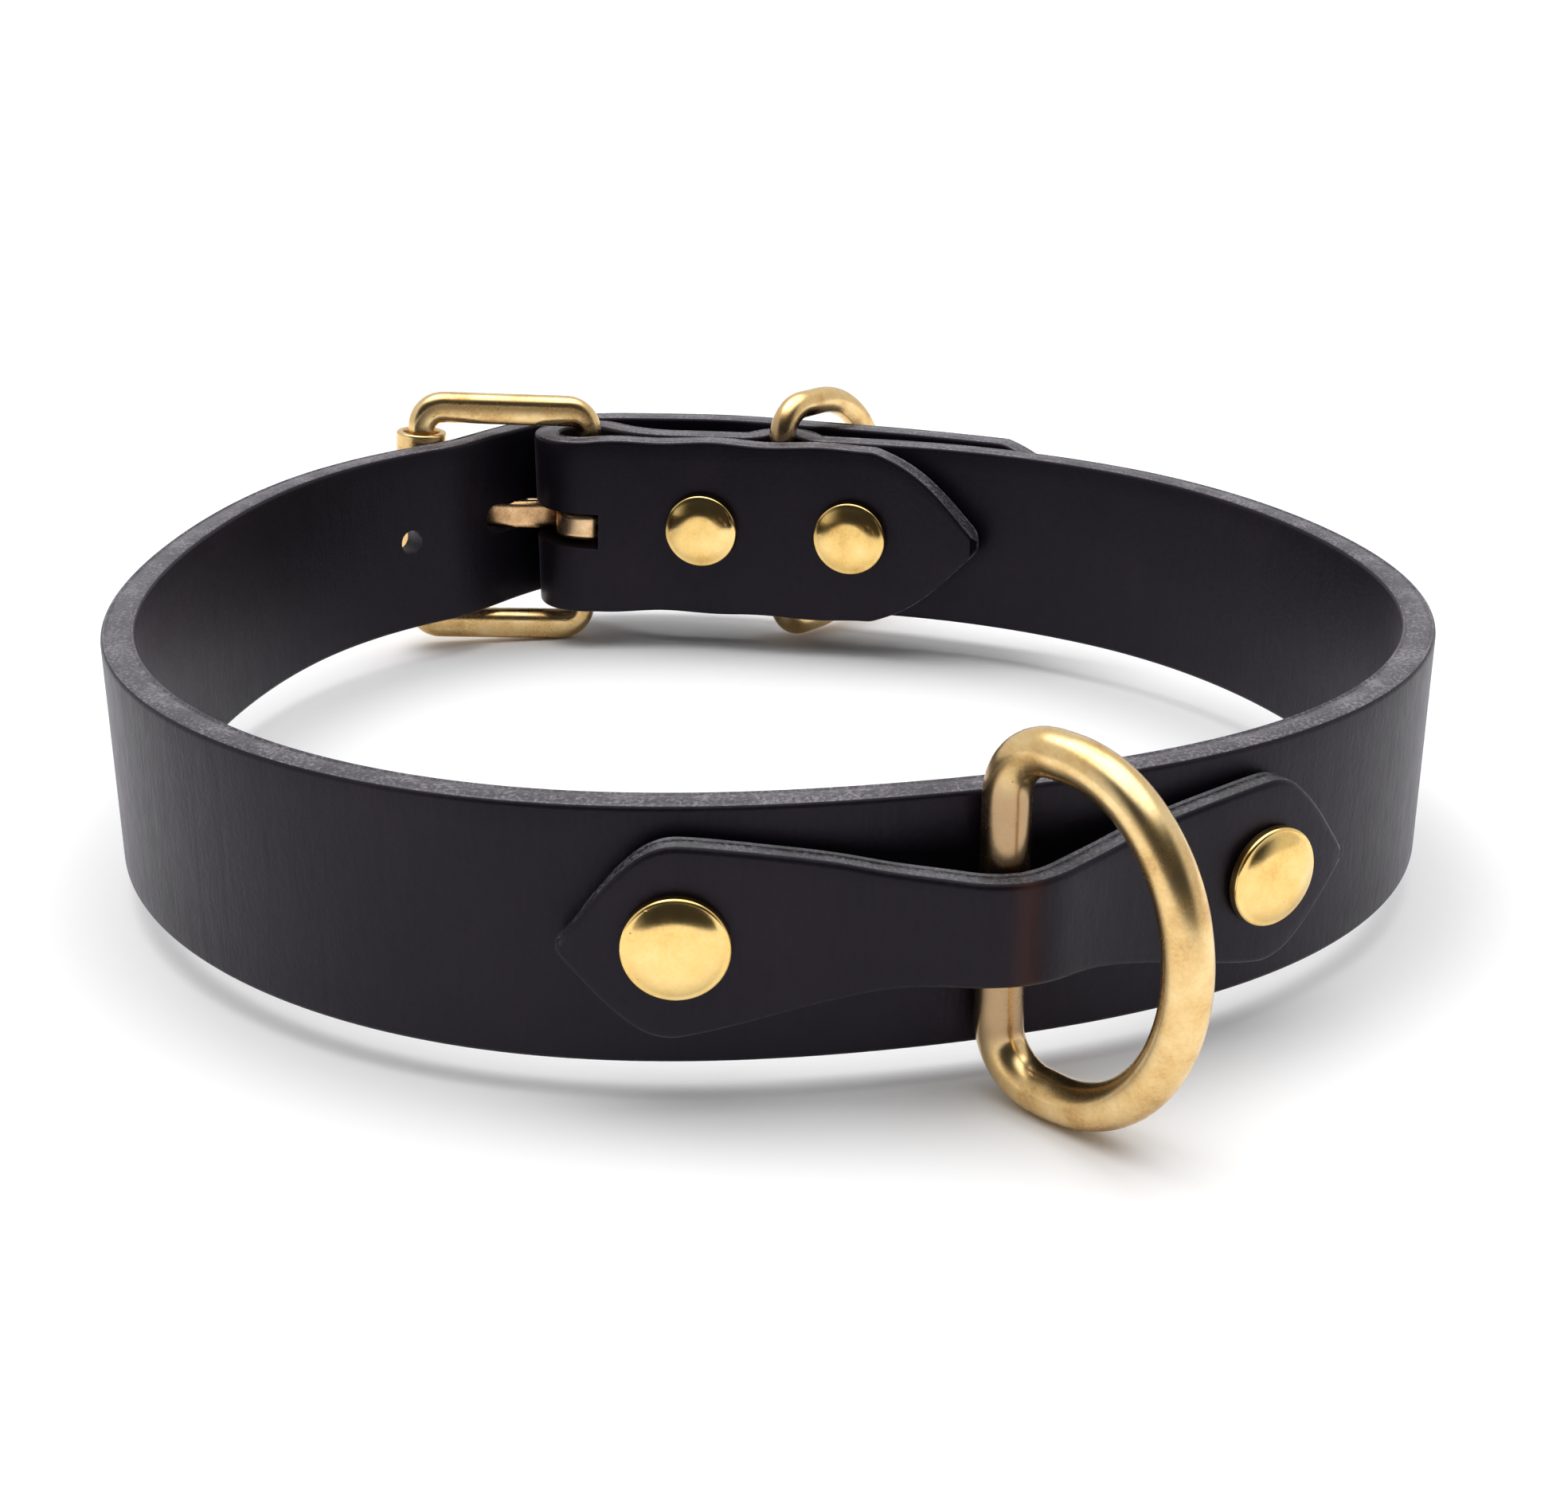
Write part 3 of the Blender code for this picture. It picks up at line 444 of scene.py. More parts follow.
def row(at, value, slope=0.0):
    return {"at": at, "value": value, "slope": slope}


def smooth(rows):
    """Gives each row between its neighbours the slope from one to the other."""
    for before, here, after in zip(rows, rows[1:], rows[2:]):
        here["slope"] = (after["value"] - before["value"]) / (after["at"] - before["at"])
    return rows


def over_bar(away, middle_out, radius, base, bend):
    """Layer that lies flat at base, bends up and passes over a round bar in one arc."""
    away = abs(away)
    reach = sqrt((radius + bend) ** 2 - (base + bend - middle_out) ** 2)
    if away >= reach:
        return base
    if away <= reach * radius / (radius + bend):
        return middle_out + sqrt(radius ** 2 - away ** 2)
    return base + bend - sqrt(bend ** 2 - (reach - away) ** 2)


PINCH_OUT = LAYER - FLAP_SET_IN
CAP_EDGE = FOLD_RIVET_CAP / 2
FLAP_ROUTE = (
    row(0.0, -FLAP_SET_IN),
    row(RIVET_NEAR, -FLAP_SET_IN),
    row(BACK_RING_ALONG, -FLAP_SET_IN - FLAP_BOW),
    row(RIVET_FAR, -FLAP_SET_IN),
    row(RIVET_FAR + CAP_EDGE, -FLAP_SET_IN),
    row(FLAP_REACH + POINT_LENGTH, -LAYER),
)

# The strap goes over the heel bar, is pinched by both rivets and goes over the ring between them
RING_BAR_OUT = HALF_STRAP + CLEARANCE + BACK_RING_WIRE / 2 - FLAP_SET_IN - FLAP_BOW
OVER_RING_RADIUS = BACK_RING_WIRE / 2 + CLEARANCE + HALF_STRAP
HEEL_BEND = FOLD_RADIUS * 2.4
RING_BEND = STRAP_THICKNESS * 0.85


def strap_out(along):
    if along < RIVET_NEAR:
        return over_bar(along, HEEL_OUT, FOLD_RADIUS, PINCH_OUT, HEEL_BEND)
    if along < RIVET_FAR:
        away = along - BACK_RING_ALONG
        return over_bar(away, RING_BAR_OUT, OVER_RING_RADIUS, PINCH_OUT, RING_BEND)
    settle = (row(RIVET_FAR + CAP_EDGE, PINCH_OUT), row(FLAP_REACH + POINT_LENGTH, 0.0))
    return hermite(settle, along)


# Coming round again it passes inside the roller, climbs over the fold and goes on as the tail
TAIL_RADIUS = FOLD_RADIUS + LAYER
CLIMB_START = ROLLER_ALONG
CLIMB_SLOPE = radians(CLIMB_ANGLE)
CLIMB_END = LOOP_LENGTH - TAIL_RADIUS * sin(CLIMB_SLOPE)
TAIL_BY_RING = RING_BAR_OUT + OVER_RING_RADIUS + LAYER


def tail_route():
    rows = [
        row(CLIMB_START - BUCKLE_LENGTH, 0.0),
        row(CLIMB_START, CLEARANCE / 2, 0.05),
        row(CLIMB_END, HEEL_OUT + TAIL_RADIUS * cos(CLIMB_SLOPE), tan(CLIMB_SLOPE)),
        row(LOOP_LENGTH, HEEL_OUT + TAIL_RADIUS + CLEARANCE / 3, 0.1),
    ]
    for item in TAIL_SHAPE:
        along = LOOP_LENGTH + item["at"] * TAIL_REACH
        rows.append(row(along, TAIL_BY_RING + item["value"] * TAIL_SLACK))
    smooth(rows[3:])
    return rows


TAIL_ROUTE = tail_route()


def steps(start, end, step):
    count = max(1, round(abs(end - start) / step))
    return [start + (end - start) * i / count for i in range(count + 1)]


POINT_ROWS = smooth([row(item["at"], item["value"]) for item in POINT_SHAPE])
POINT_ROWS[-1]["slope"] = POINT_END_SLOPE
TAB_ROWS = smooth([row(item["at"], item["value"]) for item in TAB_SHAPE])
TAB_ROWS[-1]["slope"] = TAB_END_SLOPE


def point_half(from_tip):
    """Half width of the strap at a distance from a pointed end."""
    share = 1.0 - min(from_tip / POINT_LENGTH, 1.0)
    return hermite(POINT_ROWS, share) * STRAP_WIDTH / 2


def normal_of_route(route, along):
    """Outward direction of the leather itself where its route slants across the loop line."""
    small = 0.0003
    start = place(along - small, hermite(route, along - small))
    end = place(along + small, hermite(route, along + small))
    direction = (end - start).normalized()
    return Vector((-direction.y, direction.x))


def in_space(plan, height):
    return Vector((plan.x, plan.y, height))


def at_middle(plan):
    return in_space(plan, middle_height(plan))


# The tab and the rings stand on the loop line, and the leash ring's hinge shows where that is
TAB_FLAT_OUT = HALF_STRAP + CLEARANCE + TAB_THICKNESS / 2
FRONT_BAR_OUT = HALF_STRAP + CLEARANCE + FRONT_RING_WIRE / 2
TAB_ARCH_TOP = FRONT_BAR_OUT + FRONT_RING_WIRE / 2 + CLEARANCE + TAB_THICKNESS / 2
LEASH_PIVOT = next(joint for joint in frame["joints"] if joint["name"] == "leash_ring_swing")
LINE_TO_FRAME = Vector(LEASH_PIVOT["pos_m"]) - in_space(
    place(FRONT_RING_ALONG, FRONT_BAR_OUT), FRONT_RING_HALF
)
ON_LINE = Matrix.Translation(LINE_TO_FRAME)
BUCKLE_TURN = Euler((0, radians(BUCKLE_TILT), angle_of(BUCKLE_DIRECTION)))
ON_BUCKLE = (
    ON_LINE
    @ Matrix.Translation(in_space(HEEL_POINT, HEEL_HEIGHT))
    @ BUCKLE_TURN.to_matrix().to_4x4()
)


def tab_out(away):
    """The tab lies on the strap at its ends and arches over the ring's bar in the middle."""
    middle_out = TAB_ARCH_TOP - TAB_ARCH_RADIUS
    return over_bar(away, middle_out, TAB_ARCH_RADIUS, TAB_FLAT_OUT, TAB_BEND)


def tab_rise(away):
    """How far the tab's middle has worked up the strap, at a distance from the tab's middle."""
    return TAB_BOW * (1 - (away / TAB_HALF_LENGTH) ** 2)


# Materials


def linear(code):
    """Linear colour of an sRGB hex value."""
    channels = [int(code[i:i + 2], 16) / 255 for i in (1, 3, 5)]
    lit = [c / 12.92 if c <= 0.04045 else ((c + 0.055) / 1.055) ** 2.4 for c in channels]
    return (*lit, 1.0)


def put(tree, node, inputs):
    """Sets inputs of a node, each to a value or to a link from another node."""
    for name, value in inputs.items():
        if isinstance(value, bpy.types.NodeSocket):
            tree.links.new(value, node.inputs[name])
        else:
            node.inputs[name].default_value = value


def add(tree, kind, settings=None, inputs=None):
    """Adds a node with its settings and inputs."""
    node = tree.nodes.new(kind)
    for name, value in (settings or {}).items():
        setattr(node, name, value)
    put(tree, node, inputs or {})
    return node


def new_material(name):
    """A material with its tree, its shader and the place on the piece in metres."""
    material = bpy.data.materials.new(name)
    material.use_nodes = True
    tree = material.node_tree
    where = add(tree, "ShaderNodeTexCoord").outputs["Object"]
    return material, tree, tree.nodes["Principled BSDF"], where


def stretched(tree, where, sizes, turn=(0.0, 0.0, 0.0)):
    """The place on the piece, counted in features of the given sizes along each axis."""
    return add(tree, "ShaderNodeMapping", inputs={
        "Vector": where, "Rotation": turn, "Scale": [1 / size for size in sizes],
    }).outputs["Vector"]


def noise(tree, where, size, detail, roughness=0.5, distortion=0.0):
    """Clouds of a size, from 0 to 1."""
    return add(tree, "ShaderNodeTexNoise", inputs={
        "Vector": where, "Scale": 1 / size, "Detail": detail, "Roughness": roughness,
        "Distortion": distortion,
    }).outputs["Fac"]


def spread(tree, value, start, end, first, last, **settings):
    """Turns a value that goes from start to end into one that goes from first to last."""
    return add(tree, "ShaderNodeMapRange", settings, {
        "Value": value, "From Min": start, "From Max": end, "To Min": first, "To Max": last,
    }).outputs["Result"]


def work_out(tree, operation, *values):
    inputs = dict(enumerate(values))
    return add(tree, "ShaderNodeMath", {"operation": operation}, inputs).outputs["Value"]


def shades(tree, value, places, colours):
    """Colours at places along a value, blended between them."""
    node = add(tree, "ShaderNodeValToRGB", inputs={"Fac": value})
    ramp = node.color_ramp.elements
    ramp.new(0.5)
    for element, position, colour in zip(ramp, places, colours):
        element.position = position
        element.color = linear(colour)
    return node.outputs["Color"]


def blend(tree, share, first, second):
    return add(tree, "ShaderNodeMix", {"data_type": "RGBA"}, {
        0: share, 6: first, 7: second,
    }).outputs[2]


def attribute(tree, name):
    return add(tree, "ShaderNodeAttribute", {"attribute_name": name}).outputs["Fac"]


def bump(tree, height, strength, depth, under=None, **settings):
    """Relief of a depth in metres, laid over the relief under it."""
    inputs = {"Height": height, "Strength": strength, "Distance": depth}
    if under is not None:
        inputs["Normal"] = under
    return add(tree, "ShaderNodeBump", settings, inputs).outputs["Normal"]


def waxed_leather():
    """Drum-dyed bridle leather, waxed and plated smooth: a black with a violet cast and a satin
    gloss, with fine grain lines that run across the strap and soft wrinkles between. The wax is
    a lilac bloom where the leather turns away from the eye. Where the "crease" attribute is 1
    the finish has cracked and the brown of the hide shows."""
    material, tree, shader, where = new_material("waxed_bridle_leather")
    grain_place = stretched(tree, where, (GRAIN_ACROSS, GRAIN_ACROSS, GRAIN_LENGTH))
    grain = noise(tree, grain_place, 1.0, detail=3.0, roughness=0.6)
    pores = add(tree, "ShaderNodeTexVoronoi", inputs={
        "Vector": where, "Scale": 1 / PORE_SPACING,
    }).outputs["Distance"]
    wrinkle_place = stretched(tree, where, (WRINKLE_ACROSS, WRINKLE_ACROSS, WRINKLE_LENGTH))
    wrinkles = noise(tree, wrinkle_place, 1.0, detail=2.0, distortion=0.5)
    clouds = noise(tree, where, DYE_CLOUD, detail=4.0)
    dyed = shades(tree, clouds, (0.30, 0.62, 0.85), LEATHER_DYE)
    fine = bump(tree, grain, strength=0.4, depth=0.00003)
    pitted = bump(tree, pores, strength=0.25, depth=0.00004, under=fine)
    put(tree, shader, {
        "Base Color": blend(tree, attribute(tree, "crease"), dyed, linear(BARE_HIDE)),
        "Roughness": spread(tree, grain, 0.3, 0.7, 0.36, 0.46),
        "Normal": bump(tree, wrinkles, strength=0.4, depth=0.00012, under=pitted),
        "Specular IOR Level": 0.24,
        "Specular Tint": linear(WAX_TINT),
        "Sheen Weight": 0.10,
        "Sheen Roughness": 0.3,
        "Sheen Tint": linear(WAX_BLOOM),
    })
    return material


def burnished_rim(name, colours):
    """The cut edge of the hide, dyed, rubbed with gum and waxed: a harder, greyer gloss, speckled
    where the fibres show through. colours run from the dye to the palest fibres."""
    material, tree, shader, where = new_material(name)
    fibres = noise(tree, where, FIBRE_SIZE, detail=4.0, roughness=0.7)
    layers = noise(tree, where, HIDE_LAYER, detail=3.0)
    speckles = work_out(tree, "MULTIPLY_ADD", layers, 0.35, fibres)
    put(tree, shader, {
        "Base Color": shades(tree, speckles, (0.48, 0.66, 0.84), colours),
        "Roughness": spread(tree, fibres, 0.3, 0.7, 0.30, 0.46),
        "Normal": bump(tree, fibres, strength=0.6, depth=0.00006),
        "IOR": 1.5,
    })
    return material


def aged_brass(name, colours, polish, pitting):
    """Cast or drawn brass, tumbled bright and then handled: a pale gold under a thin uneven
    patina, with faint rubbing marks and a few pits. colours run from the brightest metal to the
    dullest, polish is its roughness where it is brightest, and pitting is how dark the pits are.
    The "warmth" attribute is 1 where the metal was heated for brazing and has a pink bronze."""
    material, tree, shader, where = new_material(name)
    clouds = noise(tree, where, PATINA_CLOUD, detail=4.0, roughness=0.55)
    rub_sizes = (RUB_ACROSS, RUB_LENGTH, RUB_ACROSS)
    rub_place = stretched(tree, where, rub_sizes, turn=(0.5, 0.3, 0.7))
    rubbing = noise(tree, rub_place, 1.0, detail=3.0)
    pits = add(tree, "ShaderNodeTexVoronoi", inputs={"Vector": where, "Scale": 1 / PIT_SPACING})
    chosen = work_out(tree, "GREATER_THAN", pits.outputs["Color"], 0.62)
    round_pit = spread(tree, pits.outputs["Distance"], 0.03, 0.10, 1.0, 0.0)
    pit = work_out(tree, "MULTIPLY", round_pit, chosen)
    patina = work_out(tree, "MULTIPLY_ADD", rubbing, 0.25, clouds)
    colour = shades(tree, patina, (0.45, 0.68, 0.90), colours)
    heated = blend(tree, attribute(tree, "warmth"), colour, linear(HEATED_BRASS))
    darkened = work_out(tree, "MULTIPLY", pit, pitting)
    marks = bump(tree, rubbing, strength=0.12, depth=0.00002)
    dents = bump(tree, pit, strength=0.5, depth=0.00003, under=marks, invert=True)
    put(tree, shader, {
        "Base Color": blend(tree, darkened, heated, linear(PIT_BROWN)),
        "Roughness": spread(tree, patina, 0.4, 0.9, polish, polish + 0.14),
        "Normal": bump(tree, clouds, strength=0.10, depth=0.00010, under=dents),
        "Metallic": 1.0,
    })
    return material


def floor_paper():
    """Matt white background paper, which gives a soft shadow and no gloss."""
    material, tree, shader, where = new_material("matt_white_paper")
    tooth = noise(tree, where, PAPER_TOOTH, detail=2.0)
    put(tree, shader, {
        "Normal": bump(tree, tooth, strength=0.05, depth=0.00003),
        "Base Color": linear(PAPER_WHITE),
        "Roughness": 0.9,
        "Specular IOR Level": 0.1,
    })
    return material


# Making meshes


def section(half_width, half_thickness, corner):
    """Cut end of a strip as points across its thickness and up its width, and which are rim."""
    # A narrow tip keeps a sliver of each flat side
    corner = min(corner, half_width * 0.95, half_thickness * 0.95)
    flat = half_width - corner
    side = half_thickness - corner
    quarter = [(half_thickness, flat * i / FACE_STEPS, 0) for i in range(FACE_STEPS)]
    for i in range(CORNER_STEPS):
        turn = (pi / 2) * i / CORNER_STEPS
        point = (side + corner * cos(turn), flat + corner * sin(turn))
        quarter.append((*point, 1 if i > CORNER_STEPS / 2 else 0))
    for i in range(RIM_STEPS + 1):
        across = 1 - i / RIM_STEPS
        quarter.append((side * across, half_width + RIM_CROWN * (1 - across ** 2) - RIM_CROWN, 1))
    upper = quarter + [(-x, z, rim) for x, z, rim in reversed(quarter[:-1])]
    lower = [(x, -z, rim) for x, z, rim in reversed(upper[1:-1])]
    return upper + lower


def strip(stations, half_thickness, corner):
    """A closed strip through stations of plan point, height, half width and thinness."""
    shape = bmesh.new()
    crease = shape.verts.layers.float.new("crease")
    loops = []
    for i, station in enumerate(stations):
        plan = station["plan"]
        before = stations[max(i - 1, 0)]["plan"]
        after = stations[min(i + 1, len(stations) - 1)]["plan"]
        first = (plan - before).normalized() if i else (after - plan).normalized()
        last = (after - plan).normalized() if i < len(stations) - 1 else first
        direction = (first + last).normalized()
        normal = Vector((-direction.y, direction.x)) / max(direction.dot(first), 0.5)
        thick = half_thickness * station["thin"]
        loop = []
        kinds = []
        for across, up, rim in section(station["half"], thick, corner):
            spot = plan + normal * (across + station.get("bulge", 0.0))
            loop.append(shape.verts.new((spot.x, spot.y, station["height"] + up)))
            loop[-1][crease] = station.get("crease", 0.0)
            kinds.append(rim)
        loops.append(loop)
    count = len(kinds)
    for here, following in zip(loops, loops[1:]):
        for i in range(count):
            j = (i + 1) % count
            face = shape.faces.new((here[i], here[j], following[j], following[i]))
            face.material_index = 1 if kinds[i] and kinds[j] else 0
    shape.faces.new(loops[0])
    shape.faces.new(reversed(loops[-1]))
    for face in shape.faces[-2:]:
        face.material_index = 1
    bmesh.ops.recalc_face_normals(shape, faces=shape.faces)
    return shape


def round_tips(stations):
    """Thins both ends of a strip over a short length, as a rounded nose."""
    for i, order in ((0, 1), (len(stations) - 1, -1)):
        run = 0.0
        while run < TIP_ROUND:
            swell = sqrt(1 - (1 - run / TIP_ROUND) ** 2)
            stations[i]["thin"] = swell * (1 - TIP_THINNEST) + TIP_THINNEST
            run += (stations[i + order]["plan"] - stations[i]["plan"]).length
            i += order
    return stations


def lathe(profile, turns):
    """A closed body turned about Z from a profile of radius and height, top to bottom."""
    shape = bmesh.new()
    closed = profile[0] == profile[-1]
    rows = profile[:-1] if closed else profile
    rings = []
    for radius, height in rows:
        if radius < 1e-9:
            rings.append([shape.verts.new((0.0, 0.0, height))])
            continue
        ring = []
        for i in range(turns):
            turn = 2 * pi * i / turns
            ring.append(shape.verts.new((radius * cos(turn), radius * sin(turn), height)))
        rings.append(ring)
    pairs = list(zip(rings, rings[1:]))
    if closed:
        pairs.append((rings[-1], rings[0]))
    for upper, lower in pairs:
        for i in range(turns):
            j = (i + 1) % turns
            corners = [upper[i % len(upper)], upper[j % len(upper)]]
            corners += [lower[j % len(lower)], lower[i % len(lower)]]
            shape.faces.new(dict.fromkeys(corners))
    bmesh.ops.recalc_face_normals(shape, faces=shape.faces)
    return shape


def new_object(name, shape, matrix, *materials):
    """A piece made from a shape in axes of its own, which the matrix takes to its place."""
    bmesh.ops.transform(shape, matrix=matrix, verts=shape.verts)
    mesh = bpy.data.meshes.new(name)
    shape.to_mesh(mesh)
    shape.free()
    for material in materials:
        mesh.materials.append(material)
    obj = bpy.data.objects.new(name, mesh)
    bpy.context.scene.collection.objects.link(obj)
    return obj


def apply_modifiers(obj):
    """Makes what the modifiers do part of the mesh."""
    bpy.context.view_layer.update()
    evaluated = obj.evaluated_get(bpy.context.evaluated_depsgraph_get())
    mesh = bpy.data.meshes.new_from_object(evaluated)
    obj.modifiers.clear()
    obj.data = mesh


def punch(obj, cutters):
    """Cuts the holes out of the leather."""
    collection = bpy.data.collections.new(obj.name + "_punches")
    for cutter in cutters:
        bpy.context.scene.collection.objects.unlink(cutter)
        collection.objects.link(cutter)
    bpy.context.scene.collection.children.link(collection)
    holes = obj.modifiers.new("holes", "BOOLEAN")
    holes.operation = "DIFFERENCE"
    holes.solver = "EXACT"
    holes.operand_type = "COLLECTION"
    holes.collection = collection
    apply_modifiers(obj)
    for cutter in list(collection.objects):
        bpy.data.objects.remove(cutter)
    bpy.data.collections.remove(collection)


def fit(piece, node, body, sharp=SHARP_ANGLE):
    """Smooths a piece, hides the solid that it stands for, and makes it move with its body."""
    piece.data.shade_smooth()
    piece.data.set_sharp_from_angle(angle=radians(sharp))
    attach(piece, body)
    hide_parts(node)


def facing(outward):
    """Turns a Z axis level, to point outwards."""
    return Euler((0, pi / 2, angle_of(outward))).to_matrix().to_4x4()


def bar(name, middle, outward, diameter, length):
    """A round punch through the leather."""
    shape = bmesh.new()
    radius = diameter / 2
    bmesh.ops.create_cone(
        shape, cap_ends=True, segments=HOLE_TURNS, radius1=radius, radius2=radius, depth=length
    )
    return new_object(name, shape, ON_LINE @ Matrix.Translation(middle) @ facing(outward))


# Leather


def strap_stations():
    """The strap from the flap's tip, round the heel bar and the loop, to the tail's tip."""
    stations = []
    for along in steps(FLAP_REACH, 0.0, BEND_STEP)[:-1]:
        plan = place(along, hermite(FLAP_ROUTE, along))
        wave = FLAP_WAVE * sin(2 * pi * along / FLAP_WAVE_LENGTH)
        stations.append((plan, point_half(FLAP_REACH - along) + wave))
    _, direction, outward = line_at(0.0)
    for i in range(FOLD_TURNS):
        turn = pi * i / FOLD_TURNS
        spoke = -outward * cos(turn) - direction * sin(turn)
        stations.append((HEEL_POINT + spoke * FOLD_RADIUS, STRAP_WIDTH / 2))
    end = LOOP_LENGTH + TAIL_REACH
    settled = FLAP_REACH + POINT_LENGTH
    runs = steps(0.0, settled, BEND_STEP) + steps(settled, CLIMB_START, STRAP_STEP)[1:]
    runs += steps(CLIMB_START, end, BEND_STEP)[1:]
    for along in runs:
        out = strap_out(along) if along < settled * 2 else hermite(TAIL_ROUTE, along)
        stations.append((place(along, out), point_half(end - along)))
    return [
        {"plan": plan, "height": middle_height(plan), "half": half, "thin": 1.0}
        for plan, half in stations
    ]


def prong_crossing():
    """Where the middle of the climbing strap meets the middle of the prong, along the loop."""
    low, high = ROLLER_ALONG, CLIMB_END
    for _ in range(40):
        middle = (low + high) / 2
        spoke = place(middle, hermite(TAIL_ROUTE, middle)) - HEEL_POINT
        if spoke.dot(BUCKLE_OUTWARD) < hermite(SHANK_ROUTE, -spoke.dot(BUCKLE_DIRECTION)):
            low = middle
        else:
            high = middle
    return low


PRONG_RADIUS = HEEL_REACH + CLEARANCE + PRONG_THICKNESS / 2
PRONG_TIP_OUT = ROLLER_RADIUS + CLEARANCE + PRONG_THICKNESS / 2

# The prong's shank, from over the heel bar to its tip on the roller, in the buckle's own axes
SHANK_ROUTE = (
    row(0.0, PRONG_RADIUS),
    row(BUCKLE_LENGTH * 0.42, PRONG_TIP_OUT - PRONG_DIP),
    row(BUCKLE_LENGTH, PRONG_TIP_OUT, 0.05),
    row(BUCKLE_LENGTH + PRONG_OVERHANG, PRONG_TIP_OUT - PRONG_THICKNESS * 0.25, -0.2),
)


def adjusting_holes(crossing):
    """The round holes of the tail, but for the one in use."""
    punches = []
    for i in range(-HOLES_BEFORE, HOLES_AFTER + 1):
        if i == 0:
            continue
        along = crossing + i * HOLE_PITCH
        middle = at_middle(place(along, hermite(TAIL_ROUTE, along)))
        outward = normal_of_route(TAIL_ROUTE, along)
        name = f"hole_{i + HOLES_BEFORE + 1}"
        punches.append(bar(name, middle, outward, HOLE_DIAMETER, STRAP_THICKNESS * 2))
    return punches


def fold_slot():
    """The slot that the prong's loop stands in, where the strap turns round the heel bar."""
    half = PRONG_WIDTH / 2 + PRONG_SLOT_PLAY
    reach = FOLD_RADIUS + HALF_STRAP + CLEARANCE / 2
    profile = ((0.0, half), (reach, half), (reach, -half), (0.0, -half))
    return new_object("fold_slot", lathe(profile, LATHE_TURNS), ON_BUCKLE)


def prong_hole(crossing):
    """The hole in use, which the prong has stretched along the strap."""
    shape = bmesh.new()
    bmesh.ops.create_cube(shape, size=1.0)
    height = PRONG_WIDTH + 2 * PRONG_HOLE_PLAY
    size = Matrix.Diagonal((PRONG_HOLE_LENGTH, 4 * STRAP_THICKNESS, height, 1.0))
    bmesh.ops.transform(shape, matrix=size, verts=shape.verts)
    across = [edge for edge in shape.edges if edge.verts[0].co.y * edge.verts[1].co.y < 0]
    rounding = height * PRONG_HOLE_ROUND
    bmesh.ops.bevel(
        shape, geom=across, offset=rounding, segments=8, profile=0.5, affect="EDGES"
    )
    spoke = place(crossing, hermite(TAIL_ROUTE, crossing)) - HEEL_POINT
    slant = angle_of(normal_of_route(TAIL_ROUTE, crossing)) - angle_of(BUCKLE_OUTWARD)
    seat = Matrix.Translation((spoke.dot(BUCKLE_DIRECTION), spoke.dot(BUCKLE_OUTWARD), 0.0))
    return new_object("prong_hole", shape, ON_BUCKLE @ seat @ Matrix.Rotation(slant, 4, "Z"))


def rivet_punches(rivets):
    """The holes that the rivets' posts go through."""
    punches = []
    for item in rivets:
        point, _, outward = line_at(item["along"])
        low, high = seats(item)
        middle = at_middle(point) + in_space(outward * (low + high) / 2, item["rise"])
        length = high - low + STRAP_THICKNESS
        hole = RIVET_POST + 2 * CLEARANCE
        punches.append(bar(item["node"] + "_hole", middle, outward, hole, length))
    return punches


def make_strap(leather, rim):
    shape = strip(round_tips(strap_stations()), HALF_STRAP, STRAP_EDGE)
    strap = new_object("strap_leather", shape, ON_LINE, leather, rim)
    crossing = prong_crossing()
    punches = adjusting_holes(crossing) + [fold_slot(), prong_hole(crossing)]
    punch(strap, punches + rivet_punches(RIVETS))
    fit(strap, "strap", "root")


def make_tab(leather, rim):
    """The dog-bone tab, creased where it bends up off the strap and over the ring's bar."""
    stations = []
    for away in steps(-TAB_HALF_LENGTH, TAB_HALF_LENGTH, BEND_STEP):
        along = TAB_ALONG + away
        stations.append({
            "plan": place(along, tab_out(along - FRONT_RING_ALONG)),
            "height": middle_height(place(along, 0.0)) + tab_rise(away),
            "half": hermite(TAB_ROWS, abs(away) / TAB_HALF_LENGTH) * TAB_WIDTH / 2,
            "thin": 1.0,
            "bulge": TAB_CREASE_RIDGE * exp(-abs(away - TAB_CREASE) / (2 * TAB_CREASE_WIDTH)),
            "crease": exp(-(((away - TAB_CREASE) / TAB_CREASE_WIDTH) ** 2)),
        })
    shape = strip(round_tips(stations), TAB_THICKNESS / 2, TAB_EDGE)
    tab = new_object("ring_tab_leather", shape, ON_LINE, leather, rim)
    punch(tab, rivet_punches(RIVETS[:2]))
    fit(tab, "ring_tab", "root")


# Rivets


def tab_rivet_inner(at):
    return -HALF_STRAP


def tab_rivet_outer(at):
    return tab_out(at - FRONT_RING_ALONG) + TAB_THICKNESS / 2


def fold_rivet_inner(at):
    return hermite(FLAP_ROUTE, at) - HALF_STRAP


def fold_rivet_outer(at):
    return strap_out(at) + HALF_STRAP


TAB_RIVET = {
    "rise": tab_rise(TAB_RIVET_AWAY),
    "cap": TAB_RIVET_CAP,
    "inner": tab_rivet_inner,
    "outer": tab_rivet_outer,
}
FOLD_RIVET = {
    "rise": 0.0,
    "cap": FOLD_RIVET_CAP,
    "inner": fold_rivet_inner,
    "outer": fold_rivet_outer,
}
RIVETS = (
    {"node": "tab_rivet_right", "along": TAB_ALONG - TAB_RIVET_AWAY, **TAB_RIVET},
    {"node": "tab_rivet_left", "along": TAB_ALONG + TAB_RIVET_AWAY, **TAB_RIVET},
    {"node": "fold_rivet_near", "along": RIVET_NEAR, **FOLD_RIVET},
    {"node": "fold_rivet_far", "along": RIVET_FAR, **FOLD_RIVET},
)


